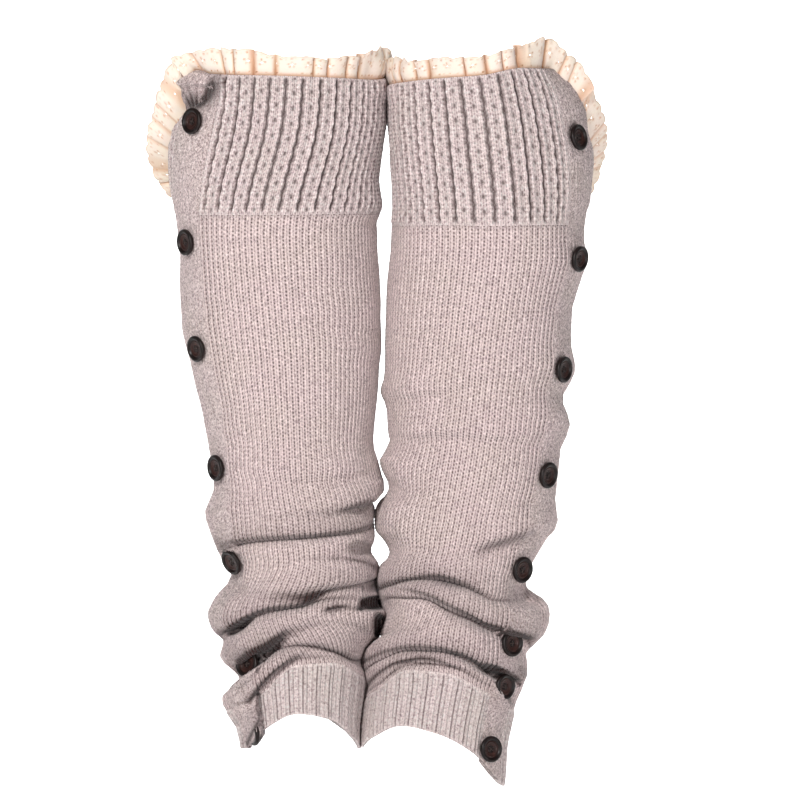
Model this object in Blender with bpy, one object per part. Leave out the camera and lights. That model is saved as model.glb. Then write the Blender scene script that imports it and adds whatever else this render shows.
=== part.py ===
"""A pair of long knitted boot cuffs with a button side, a ribbed top band, a
ribbed hem arched over the instep, a gathered lace edge and a row of round
buttons on the outer side of each. They stand as worn and are hollow.

Lengths in the tables are millimetres. X runs across the pair, Z is up, and
the front of the pair faces -Y. Angles go round a leg: 0 is its front, +90
is +X and -90 is -X.
"""

import math

import bmesh
import bpy
import numpy as np

MM = 0.001

BAND_THICK = 3.0
BODY_THICK = 2.0
HEM_THICK = 2.2
PLACKET_THICK = 2.0
UNDER_THICK = 1.8
LACE_THICK = 1.0
GAP = 0.35

PLACKET_HALF = 16.0  # degrees each side of the placket's centre line
UNDER_HALF = 11.5
BACK_END = 13.1  # the back edge lies this near the centre line, under the placket
BUTTON_DIAMETER = 16.0
BUTTON_THICK = 3.2
LACE_HEIGHT = 17.0
LACE_TUCK = 4.0
HEM_START = 0.11  # the hem begins this share of the way below the last crease

# Folds here are a little softer than drawn in the tables, so that the wall
# behind a lip stays whole.
OVERHANG = 0.65
CREASE_WIDTH = 1.2

STATIONS = (-90, -60, -30, 0, 30, 60, 90, 130, 180, 230)

# Outline of each cuff seen from the front: height, left edge, right edge.
OUTLINE = {
    "left": (
        (54.0, -120.0, 0.1),
        (47.4, -121.3, 0.9),
        (31.8, -125.2, 1.2),
        (19.2, -126.9, 1.1),
        (3.0, -128.6, -0.9),
        (-6.0, -128.8, -2.1),
        (-18.0, -128.3, -3.3),
        (-31.8, -126.4, -1.2),
        (-37.2, -125.7, -2.1),
        (-43.2, -124.9, -4.8),
        (-64.8, -122.6, -3.2),
        (-90.0, -122.3, -2.0),
        (-108.0, -121.2, -1.9),
        (-120.0, -118.4, -2.0),
        (-150.0, -111.0, -4.4),
        (-174.0, -106.2, -6.8),
        (-180.0, -105.2, -6.2),
        (-196.8, -102.6, -1.1),
        (-204.0, -102.5, -0.2),
        (-207.0, -103.7, -1.5),
        (-210.0, -104.9, -6.2),
        (-216.6, -107.4, -5.8),
        (-222.0, -106.8, -6.1),
        (-232.2, -103.1, -5.3),
        (-240.0, -100.1, -8.1),
        (-243.0, -98.5, -7.3),
        (-249.0, -94.8, -3.2),
        (-252.0, -93.6, -3.1),
        (-255.0, -93.0, -4.0),
        (-259.8, -94.5, -4.9),
        (-263.4, -97.3, -4.5),
        (-269.4, -101.6, -2.3),
        (-274.2, -103.9, -1.0),
        (-276.6, -105.0, 0.4),
        (-278.4, -105.2, 1.2),
        (-281.4, -105.0, 1.2),
        (-288.0, -103.2, -1.3),
        (-291.6, -99.6, -2.7),
        (-293.4, -97.1, -3.7),
        (-294.6, -95.4, -5.4),
        (-300.0, -96.9, -10.8),
        (-303.0, -97.8, -12.3),
        (-306.6, -96.1, -14.0),
        (-307.8, -95.4, -13.7),
        (-315.6, -87.0, -11.5),
        (-318.6, -86.4, -11.0),
        (-325.8, -95.0, -11.2),
        (-328.8, -97.0, -11.5),
        (-333.0, -96.6, -12.0),
        (-346.8, -87.8, -13.6),
        (-355.2, -85.8, -14.0),
        (-366.0, -84.6, -13.7),
    ),
    "right": (
        (54.0, 3.3, 105.0),
        (45.6, 3.2, 109.2),
        (31.8, 3.3, 119.8),
        (19.8, 3.4, 123.0),
        (-9.0, 5.4, 126.3),
        (-10.8, 5.6, 127.0),
        (-31.8, 6.5, 125.0),
        (-36.6, 6.4, 123.0),
        (-45.6, 5.8, 121.4),
        (-54.6, 5.4, 121.2),
        (-61.2, 5.0, 123.0),
        (-67.2, 4.4, 123.6),
        (-75.0, 3.8, 120.4),
        (-94.8, 2.4, 114.2),
        (-111.0, 2.0, 113.2),
        (-118.8, 1.8, 113.5),
        (-128.4, 1.7, 115.9),
        (-133.2, 1.5, 116.0),
        (-138.0, 1.1, 113.7),
        (-144.6, -0.7, 110.2),
        (-146.4, -0.4, 109.2),
        (-152.4, 1.8, 108.6),
        (-156.0, 2.9, 110.2),
        (-164.4, 3.4, 113.0),
        (-174.0, 4.7, 109.8),
        (-179.4, 2.2, 107.2),
        (-186.0, -1.6, 106.5),
        (-189.6, -1.3, 106.0),
        (-201.0, 4.1, 104.6),
        (-204.0, 3.8, 104.4),
        (-207.0, 2.0, 104.1),
        (-213.0, -3.1, 104.2),
        (-216.6, -4.2, 104.6),
        (-222.0, -4.5, 105.6),
        (-228.0, -4.1, 103.8),
        (-234.0, 0.7, 98.2),
        (-240.6, 4.5, 94.1),
        (-243.0, 4.3, 92.7),
        (-246.0, 2.5, 91.0),
        (-249.0, -1.2, 89.2),
        (-259.8, -3.9, 85.9),
        (-262.8, -3.5, 86.6),
        (-266.4, -2.7, 91.2),
        (-269.4, -1.3, 96.0),
        (-273.6, -0.1, 99.4),
        (-278.4, 2.2, 100.4),
        (-283.8, 1.7, 100.0),
        (-290.4, -0.4, 97.6),
        (-293.4, -1.6, 94.9),
        (-300.0, -9.6, 88.2),
        (-303.0, -11.2, 86.0),
        (-306.6, -12.9, 86.7),
        (-314.4, -10.8, 86.8),
        (-320.4, -9.7, 84.8),
        (-333.0, -10.9, 79.6),
        (-355.2, -12.9, 75.1),
        (-384.0, -12.7, 72.8),
    ),
}

# A leg from the side: height, front of the shin, back of the calf.
SIDE = (
    (60.0, -58.0, 58.0),
    (0.0, -58.0, 60.0),
    (-60.0, -57.0, 61.0),
    (-120.0, -53.0, 56.0),
    (-180.0, -50.0, 50.0),
    (-240.0, -47.0, 46.0),
    (-300.0, -46.0, 45.0),
    (-340.0, -48.0, 45.0),
    (-385.0, -51.0, 46.0),
)

# Rings round each cuff from its top edge to its hem: name, height at each
# station, how strongly the fold shows at each station, then the fold's lip,
# dip, overhang and width. A ring with no lip or dip is only a guide.
NONE = (0,) * 10
RINGS = {
    "left": (
        ("top", (4.0, 46.2, 44.4, 43.5, 42.6, 42.0, 43.8, 40.0, 24.0, -18.0), NONE, 0, 0, 0, 5),
        ("band", (-38.4, -39.0, -39.6, -39.6, -39.0, -38.4, -37.8, -38.4, -39.6, -39.6), NONE, 0, 0, 0, 5),
        ("waist", (-84.0, -82.8, -80.4, -78.0, -75.6, -73.2, -72.0, -73.2, -78.0, -82.8), (0, 0, 0.2, 0.5, 0.6, 0.4, 0.1, 0.2, 0.4, 0.2), 0.8, 1.5, 0, 8),
        ("knee", (-117.0, -114.0, -109.2, -103.2, -104.4, -108.0, -111.6, -114.0, -111.0, -114.0), (0, 0, 0, 0.2, 0.6, 0.8, 0.5, 0.3, 0.3, 0.1), 1.2, 2.0, 0.5, 6),
        ("sag", (-199.2, -198.0, -197.4, -197.4, -196.8, -194.4, -190.8, -192.0, -195.6, -199.2), (0.2, 0.3, 0.5, 0.6, 0.8, 1, 0.6, 0.7, 0.8, 0.4), 2.4, 2.8, 1.5, 5),
        ("nip", (-219.6, -219.0, -218.4, -218.4, -216.6, -213.0, -209.4, -210.0, -214.8, -218.4), (0.1, 0.1, 0.1, 0.15, 0.5, 1, 0.5, 0.6, 0.3, 0.2), 2.0, 3.5, 2, 3.2),
        ("first_tuck", (-241.2, -238.2, -234.0, -232.2, -229.8, -228.0, -226.2, -229.2, -234.0, -238.8), (0.5, 0.9, 1, 1, 1, 0.9, 0.5, 0.7, 0.9, 0.8), 3.2, 5.0, 5, 2.6),
        ("inner_tuck", (-249.6, -247.8, -246.0, -244.8, -244.8, -247.2, -250.2, -249.6, -248.4, -249.6), (0, 0, 0, 0.1, 0.5, 1, 0.5, 0.5, 0.3, 0.1), 2.5, 3.5, 2.5, 2.6),
        ("hook", (-256.2, -259.8, -265.2, -264.6, -261.6, -259.2, -257.4, -260.4, -264.0, -259.2), (0.4, 0.2, 0.1, 0.6, 1, 1, 0.5, 0.6, 0.7, 0.6), 3.2, 5.5, 4.5, 2.8),
        ("second_tuck", (-292.2, -286.8, -277.8, -273.0, -268.2, -270.0, -271.2, -277.2, -283.2, -290.4), (0.5, 1, 1, 1, 0.8, 0.8, 0.6, 0.8, 0.9, 0.8), 4.0, 5.5, 5, 2.8),
        ("third_tuck", (-315.0, -308.4, -298.8, -286.8, -283.2, -288.0, -294.0, -294.0, -300.0, -310.8), (0.6, 1, 0.9, 0.35, 0.1, 0.2, 0.4, 0.5, 0.8, 0.8), 4.0, 6.5, 5, 3.0),
        ("roll", (-324.0, -318.0, -303.0, -295.8, -297.6, -302.4, -304.2, -306.0, -310.8, -319.2), (0.2, 0.3, 0.6, 0.8, 0.9, 1, 0.5, 0.7, 0.8, 0.5), 3.0, 4.5, 4, 2.6),
        ("seam", (-333.6, -328.8, -313.2, -306.6, -303.2, -307.8, -310.4, -313.2, -320.4, -330.0), (0.3, 0.4, 0.8, 0.7, 0.3, 0.2, 0.2, 0.5, 0.6, 0.4), 2.5, 3.0, 3, 2.6),
        ("hem", (-359.7, -356.1, -346.2, -337.8, -341.1, -351.9, -359.7, -350.0, -337.0, -349.0), NONE, 0, 0, 0, 5),
    ),
    "right": (
        ("top", (38.4, 40.2, 42.0, 43.8, 48.0, 42.0, 4.0, -18.0, 24.0, 36.0), NONE, 0, 0, 0, 5),
        ("band", (-45.6, -45.6, -45.6, -46.2, -45.6, -45.0, -44.4, -45.0, -45.6, -45.6), NONE, 0, 0, 0, 5),
        ("upper_guide", (-98.0, -98.0, -97.0, -95.0, -94.0, -95.0, -96.0, -97.0, -98.0, -98.0), NONE, 0, 0, 0, 5),
        ("waist", (-151.2, -150.0, -147.6, -143.4, -142.2, -144.6, -147.6, -148.8, -150.0, -151.2), (0.5, 1, 0.7, 0.6, 0.3, 0.1, 0.2, 0.3, 0.5, 0.5), 1.8, 2.0, 0.5, 6),
        ("sag", (-174.6, -174.6, -174.6, -175.2, -175.8, -177.6, -180.0, -178.8, -176.4, -174.6), (0.3, 0.6, 0.8, 0.8, 0.8, 0.5, 0.3, 0.4, 0.6, 0.4), 2.0, 2.2, 1, 5.5),
        ("nip", (-200.4, -201.6, -204.0, -206.4, -207.6, -206.4, -204.0, -202.8, -201.6, -200.4), (0.5, 0.4, 0.2, 0.1, 0.1, 0.1, 0.2, 0.4, 0.5, 0.6), 1.5, 1.5, 0.5, 6),
        ("outer_sag", (-241.8, -241.8, -241.8, -240.0, -237.0, -232.2, -231.6, -235.2, -240.0, -241.8), (0.5, 0.2, 0.1, 0.5, 1, 0.7, 0.3, 0.5, 0.6, 0.6), 2.6, 3.2, 1.5, 4),
        ("first_tuck", (-264.0, -259.8, -256.2, -260.4, -270.0, -270.0, -264.0, -262.8, -264.0, -265.2), (0.6, 1, 1, 1, 0.5, 0.3, 0.4, 0.7, 0.8, 0.7), 3.2, 5.5, 5, 2.6),
        ("second_tuck", (-272.2, -268.4, -268.0, -278.0, -287.0, -291.4, -299.0, -292.0, -284.0, -276.0), (0.3, 0.7, 0.9, 1, 1, 1, 0.6, 0.8, 0.8, 0.6), 4.5, 6.5, 5.5, 2.8),
        ("third_tuck", (-313.2, -306.0, -298.8, -300.0, -309.8, -315.6, -320.0, -317.0, -313.2, -313.2), (0.5, 1, 1, 1, 1, 1, 0.5, 0.8, 0.9, 0.7), 4.2, 6.5, 5.5, 2.8),
        ("seam", (-326.4, -320.4, -307.4, -309.0, -319.6, -326.8, -330.4, -330.0, -327.6, -326.4), (0.4, 0.8, 1, 0.8, 0.3, 0.1, 0.1, 0.4, 0.5, 0.4), 3.0, 4.5, 4, 2.6),
        ("hem", (-358.8, -352.2, -345.0, -349.8, -360.6, -375.6, -382.2, -366.0, -345.0, -346.0), NONE, 0, 0, 0, 5),
    ),
}

# The placket's centre line: height and angle.
PLACKET_LINE = {
    "left": ((54, -53), (17, -54), (-55, -66), (-120, -65), (-191, -67), (-246, -60), (-276, -74), (-306, -51), (-351, -51), (-380, -53)),
    "right": ((54, 66), (7, 66), (-65, 71), (-133, 68), (-196, 64), (-252, 58), (-294, 50), (-323, 53), (-360, 53), (-390, 54)),
}

# How far the lace leans out, in degrees, going round from the placket.
LACE_FLARE = (
    (0, 55), (16, 38), (30, 18), (60, 12), (120, 12), (180, 14), (230, 30),
    (270, 80), (295, 108), (325, 110), (345, 92), (360, 72),
)

# Buttons: height, degrees from the placket's centre line towards the front,
# degrees turned towards the front, degrees tipped up, and how far it stands
# off the cloth where the folds set that (0 rests it on the cloth below).
BUTTONS = {
    "left": (
        (16.8, 2.3, 6, 0, 0),
        (-55.3, 3.9, 6, 0, 0),
        (-119.0, 5.5, 6, 0, 0),
        (-190.2, 4.6, 6, 0, 0),
        (-245.5, 8, 0, -20, 2.4),
        (-307.5, 13, 0, 20, 2.4),
        (-348.5, 13, -30, 0, 2.4),
    ),
    "right": (
        (7.1, 6, 4, 0, 0),
        (-65.2, 8.7, 6, 0, 0),
        (-131.8, 5.2, 6, 0, 0),
        (-194.7, 6.5, 6, 0, 0),
        (-251.2, 9.4, 4, 0, 0),
        (-295.5, 9, 0, 10, 3.2),
        (-321.0, 6, 0, 10, 0.4),
        (-359.0, 8, 6, 8, 0),
    ),
}


def smooth_curve(xs, ys, period=None):
    """A curve through the points that never swings past them."""
    xs = np.asarray(xs, float)
    ys = np.asarray(ys, float)
    if xs[0] > xs[-1]:
        xs, ys = xs[::-1], ys[::-1]
    if period:
        xs = np.concatenate([xs[-2:] - period, xs, xs[:2] + period])
        ys = np.concatenate([ys[-2:], ys, ys[:2]])
    step = np.diff(xs)
    rise = np.diff(ys) / step
    slope = np.zeros_like(ys)
    same = rise[1:] * rise[:-1] > 0
    first, second = 2 * step[1:] + step[:-1], step[1:] + 2 * step[:-1]
    with np.errstate(divide="ignore", invalid="ignore"):
        mean = (first + second) / (first / rise[:-1] + second / rise[1:])
    slope[1:-1] = np.where(same, mean, 0.0)
    slope[0], slope[-1] = rise[0], rise[-1]

    def at(x):
        x = np.asarray(x, float)
        if period:
            x = (x - xs[2]) % period + xs[2]
        i = np.clip(np.searchsorted(xs, x) - 1, 0, len(step) - 1)
        t = np.clip((x - xs[i]) / step[i], 0.0, 1.0)
        return (
            ys[i] * (1 + 2 * t) * (1 - t) ** 2
            + slope[i] * step[i] * t * (1 - t) ** 2
            + ys[i + 1] * t * t * (3 - 2 * t)
            + slope[i + 1] * step[i] * t * t * (t - 1)
        )

    return at


def bell(t):
    return np.exp(-0.5 * t * t)


def ease(t):
    t = np.clip(t, 0.0, 1.0)
    return t * t * (3 - 2 * t)


class Cuff:
    """One cuff's cloth as a surface over (angle, height)."""

    SMOOTHING = 26.0

    def __init__(self, side):
        self.side = side
        self.turn = 1.0 if side == "left" else -1.0
        rows = np.array(OUTLINE[side])
        self.heights = np.arange(-400.0, 80.1, 0.5)
        kernel = bell(np.arange(-80, 80.1, 0.5) / self.SMOOTHING)
        kernel /= kernel.sum()
        self.edges, self.bulges = [], []
        for column in (1, 2):
            line = smooth_curve(rows[:, 0], rows[:, column])(self.heights)
            half = len(kernel) // 2
            padded = np.pad(line, half, mode="edge")
            calm = np.convolve(padded, kernel, mode="valid")
            self.edges.append(calm)
            self.bulges.append((line - calm) * (-1 if column == 1 else 1))
        table = np.array(SIDE)
        self.front = smooth_curve(table[:, 0], table[:, 1])
        self.back = smooth_curve(table[:, 0], table[:, 2])
        self.rings = RINGS[side]
        self.names = [ring[0] for ring in self.rings]
        self.ring_height = [smooth_curve(STATIONS, r[1], 360) for r in self.rings]
        self.ring_strength = [smooth_curve(STATIONS, r[2], 360) for r in self.rings]
        line = np.array(PLACKET_LINE[side], float)
        self.placket = smooth_curve(line[:, 0], line[:, 1])

    def angle(self, around, height):
        """The angle of a point `around` degrees from the placket's centre
        line, counted over the front."""
        return self.placket(height) + self.turn * around

    def ring(self, name, angle):
        return self.ring_height[self.names.index(name)](angle)

    def side_height(self, angle, height, side_angle):
        """The height at which the same fold meets the outline at a side."""
        band = self.names.index("band")
        here = np.array([h(angle) + 0 * height for h in self.ring_height[band:]])
        there = np.array([h(side_angle) for h in self.ring_height[band:]])
        found = height + 0.0
        for k in range(len(there) - 1):
            inside = (height <= here[k]) & (height > here[k + 1])
            share = (here[k] - height) / np.maximum(here[k] - here[k + 1], 1e-3)
            found = np.where(inside, there[k] + share * (there[k + 1] - there[k]), found)
        return np.where(height <= here[-1], there[-1] + height - here[-1], found)

    def base(self, angle, height):
        """A point of the cloth's outer face, before it is lifted or lowered."""
        angle, height = np.broadcast_arrays(
            np.asarray(angle, float), np.asarray(height, float)
        )
        out = np.zeros(height.shape)
        drop = np.zeros(height.shape)
        sides = []
        for side_angle in (-90.0, 90.0):
            apart = np.abs((angle - side_angle + 180.0) % 360.0 - 180.0)
            sides.append(
                np.cos(np.clip((apart - 15.0) / 62.0, 0, 1) * math.pi / 2) ** 2
            )
        beside = sides[0] + sides[1]
        for ring, ring_at, strength_at in zip(
            self.rings, self.ring_height, self.ring_strength
        ):
            _, _, _, lip, dip, over, width = ring
            if not dip:
                continue
            below = ring_at(angle) - height
            strength = strength_at(angle)
            width = width * CREASE_WIDTH
            out = out + strength * (
                (1 - beside)
                * lip
                * (bell((below + 7.0) / 5.5) + 0.5 * bell((below - 8.0) / 5.5))
                - (1 - 0.5 * beside) * dip * bell(below / width)
            )
            drop = drop + strength * over * OVERHANG * bell(
                (below + width) / (1.15 * width)
            )
        for side_angle, bulge, weight in zip((-90.0, 90.0), self.bulges, sides):
            level = self.side_height(angle, height, side_angle)
            out = out + weight * np.interp(level, self.heights, bulge)
        left = np.interp(height, self.heights, self.edges[0])
        right = np.interp(height, self.heights, self.edges[1])
        front, back = self.front(height), self.back(height)
        a, b = (right - left) / 2, (back - front) / 2
        turn = np.radians(angle)
        return np.stack(
            [
                (left + right) / 2 + (a + out) * np.sin(turn),
                (front + back) / 2 - (b + out) * np.cos(turn),
                height - drop,
            ],
            axis=-1,
        )

    def normal(self, angle, height):
        across = self.base(angle + 0.5, height) - self.base(angle - 0.5, height)
        up = self.base(angle, height + 0.5) - self.base(angle, height - 0.5)
        n = np.cross(across, up)
        return n / np.linalg.norm(n, axis=-1, keepdims=True)

    def point(self, angle, height, lift=0.0):
        lift = np.asarray(lift, float)[..., None]
        return self.base(angle, height) + self.normal(angle, height) * lift


def paint(name, colour, roughness, metallic=0.0):
    material = bpy.data.materials.get(name) or bpy.data.materials.new(name)
    material.use_nodes = True
    shader = material.node_tree.nodes["Principled BSDF"]
    shader.inputs["Base Color"].default_value = (*colour, 1.0)
    shader.inputs["Roughness"].default_value = roughness
    shader.inputs["Metallic"].default_value = metallic
    material.diffuse_color = (*colour, 1.0)
    return material


def add_object(name, verts, faces, material, parent, crease=40.0):
    mesh = bpy.data.meshes.new(name)
    mesh.from_pydata([tuple(v) for v in np.asarray(verts) * MM], [], faces)
    shape = bmesh.new()
    shape.from_mesh(mesh)
    bmesh.ops.recalc_face_normals(shape, faces=shape.faces)
    if shape.calc_volume(signed=True) < 0:
        bmesh.ops.reverse_faces(shape, faces=shape.faces)
    shape.to_mesh(mesh)
    shape.free()
    mesh.shade_smooth()
    mesh.set_sharp_from_angle(angle=math.radians(crease))
    mesh.materials.append(material)
    made = bpy.data.objects.new(name, mesh)
    made.parent = parent
    bpy.context.collection.objects.link(made)
    return made


def wall(outer, inner, every=2):
    """A closed wall between two grids of points. The inner grid keeps every
    second column, and its two ends."""
    rows, columns = outer.shape[:2]
    kept = list(range(0, columns - 1, every)) + [columns - 1]
    inner = inner[:, kept]
    verts = np.concatenate([outer.reshape(-1, 3), inner.reshape(-1, 3)])
    start = rows * columns

    def o(i, j):
        return i * columns + j

    def n(i, k):
        return start + i * len(kept) + k

    faces = []
    for i in range(rows - 1):
        for j in range(columns - 1):
            faces.append((o(i, j), o(i + 1, j), o(i + 1, j + 1), o(i, j + 1)))
        for k in range(len(kept) - 1):
            faces.append((n(i, k), n(i, k + 1), n(i + 1, k + 1), n(i + 1, k)))
        # Each end is split along the same diagonal, so that neighbours match.
        last, end = len(kept) - 1, columns - 1
        faces.append((o(i, 0), n(i, 0), n(i + 1, 0)))
        faces.append((o(i, 0), n(i + 1, 0), o(i + 1, 0)))
        faces.append((o(i, end), o(i + 1, end), n(i + 1, last)))
        faces.append((o(i, end), n(i + 1, last), n(i, last)))
    for i in (0, rows - 1):
        for k in range(len(kept) - 1):
            edge = [o(i, j) for j in range(kept[k], kept[k + 1] + 1)]
            face = edge + [n(i, k + 1), n(i, k)]
            faces.append(tuple(face if i == 0 else face[::-1]))
    return verts, faces


def rows_between(cuff, names, steps):
    """Fractions down the cuff as (upper ring, lower ring, share) rows."""
    rows = []
    for upper, lower, shares in zip(names[:-1], names[1:], steps):
        rows += [(upper, lower, share) for share in shares]
    rows.append((names[-2], names[-1], 1.0))
    return rows


def settle(cuff, row, around):
    """Angle and height of a row's points, as the placket's line slants."""
    upper, lower, share = row
    angle = cuff.angle(around, -150.0)
    for _ in range(12):
        high, low = cuff.ring(upper, angle), cuff.ring(lower, angle)
        height = high + share * (low - high)
        angle = cuff.angle(around, height)
    return angle, height


def grid(cuff, rows, around, lift_outer, thickness, trim=(0.0, 0.0)):
    """Outer and inner points of a piece. `around` is a row of degrees from
    the placket's centre line, and the lifts may change along it. Both sides
    of the placket's front edge lean alike."""
    around = np.asarray(around, float)
    edge = np.where(abs(around - PLACKET_HALF) < 1.5, PLACKET_HALF, around)
    outer, inner = [], []
    for index, row in enumerate(rows):
        angle, height = settle(cuff, row, around)
        normal = cuff.normal(*settle(cuff, row, edge))
        if index == 0:
            height = height - trim[0]
        if index == len(rows) - 1:
            height = height + trim[1]
        face = cuff.base(angle, height)
        lift = (lift_outer + 0 * around)[:, None]
        outer.append(face + normal * lift)
        inner.append(face + normal * (lift - thickness))
    return np.array(outer), np.array(inner)


def layer_level(around):
    """How far the cloth sinks where its back edge goes under the placket."""
    under = -(PLACKET_THICK + GAP)
    return under * ease((np.asarray(around, float) - 328.0) / 14.0)


def lathe(profile, segments=16):
    """A closed turned solid from (radius, height) points, tip to tip."""
    verts, faces, starts = [], [], []
    for radius, height in profile:
        starts.append(len(verts))
        if radius == 0:
            verts.append((0.0, 0.0, height))
            continue
        for k in range(segments):
            turn = 2 * math.pi * k / segments
            verts.append((radius * math.cos(turn), radius * math.sin(turn), height))
    for (r0, _), (r1, _), a, b in zip(profile[:-1], profile[1:], starts[:-1], starts[1:]):
        for k in range(segments):
            m = (k + 1) % segments
            if r0 == 0:
                faces.append((a, b + k, b + m))
            elif r1 == 0:
                faces.append((a + k, b, a + m))
            else:
                faces.append((a + k, b + k, b + m, a + m))
    return np.array(verts), faces


def button_profile():
    r, t = BUTTON_DIAMETER / 2, BUTTON_THICK
    return [
        (0.0, 0.0),
        (r - 1.4, 0.0),
        (r, 0.45 * t),
        (r - 0.5, 0.9 * t),
        (r - 1.5, t),
        (r - 2.7, 0.72 * t),
        (0.0, 0.6 * t),
    ]


def facets(points, parts=6):
    """Points all over a grid's flat facets, whichever way each is split."""
    corners = (points[:-1, :-1], points[1:, :-1], points[1:, 1:], points[:-1, 1:])
    found = []
    for a, b, c in ((0, 1, 2), (0, 2, 3), (0, 1, 3), (1, 2, 3)):
        for i in range(parts + 1):
            for j in range(parts + 1 - i):
                u, v = i / parts, j / parts
                mixed = corners[a] * u + corners[b] * v + corners[c] * (1 - u - v)
                found.append(mixed.reshape(-1, 3))
    return np.concatenate(found)


def seat(cuff, cloud, height, shift, turn, rise, stand_off):
    """Centre, across and normal directions of a button laid on the placket."""
    angle = float(cuff.angle(shift, height))
    radius = BUTTON_DIAMETER / 2
    centre = cuff.point(angle, height)
    facing = math.radians(angle + cuff.turn * turn)
    outline = cuff.edges[0] if cuff.side == "left" else cuff.edges[1]
    wider, narrower = np.interp((height + 15, height - 15), cuff.heights, outline)
    taper = -cuff.turn * (wider - narrower) / 30.0
    lift = -math.atan(taper) + math.radians(rise)
    normal = np.array(
        [
            math.sin(facing) * math.cos(lift),
            -math.cos(facing) * math.cos(lift),
            math.sin(lift),
        ]
    )
    across = np.cross((0, 0, 1.0), normal)
    across /= np.linalg.norm(across)
    away = cloud - centre
    along = away @ normal
    beside = np.linalg.norm(away - along[:, None] * normal, axis=1)
    near = (beside < radius + 0.4) & (abs(along) < 1.5 * radius)
    return centre + normal * (stand_off or along[near].max() + GAP), across, normal


def lace_grid(cuff, around, shares, waves):
    """The gathered lace: tucked inside the top edge, then turning outwards."""
    around = np.asarray(around, float)
    angle = cuff.angle(around, 30.0)
    for _ in range(12):
        height = cuff.ring("top", angle)
        angle = cuff.angle(around, height)
    depth = np.interp(
        around,
        (0, PLACKET_HALF, 27, 325, 336, 360),
        (4.15, 4.15, 3.0, 3.0, 5.35, 5.35),
    )
    flare = np.radians(smooth_curve(*zip(*LACE_FLARE))(around))
    lift = -(depth + GAP + 0.15)
    foot = cuff.point(angle, height - LACE_TUCK, lift)
    edge = cuff.point(angle, height, lift)
    up = edge - foot
    up /= np.linalg.norm(up, axis=-1, keepdims=True)
    out = cuff.normal(angle, height)
    out -= (out * up).sum(axis=-1, keepdims=True) * up
    out /= np.linalg.norm(out, axis=-1, keepdims=True)
    outer, inner = [], []
    steps = 24
    for share in shares:
        reach = share * LACE_HEIGHT
        if share <= 0:
            place = foot if share < 0 else edge
            lean = 0 * flare
        else:
            place, lean = edge.copy(), 0 * flare
            for k in range(steps):
                lean = flare * ease(((k + 0.5) / steps * reach - 2.0) / 9.0)
                place = place + (reach / steps) * (
                    up * np.cos(lean)[:, None] + out * np.sin(lean)[:, None]
                )
            lean = flare * ease((reach - 2.0) / 9.0)
        face = out * np.cos(lean)[:, None] - up * np.sin(lean)[:, None]
        wave = waves * max(share, 0.0) * np.where(np.arange(len(around)) % 2, 1.0, -1.0)
        outer.append(place + face * wave[:, None])
        inner.append(place + face * (wave - LACE_THICK)[:, None])
    return np.array(outer), np.array(inner)


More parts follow.
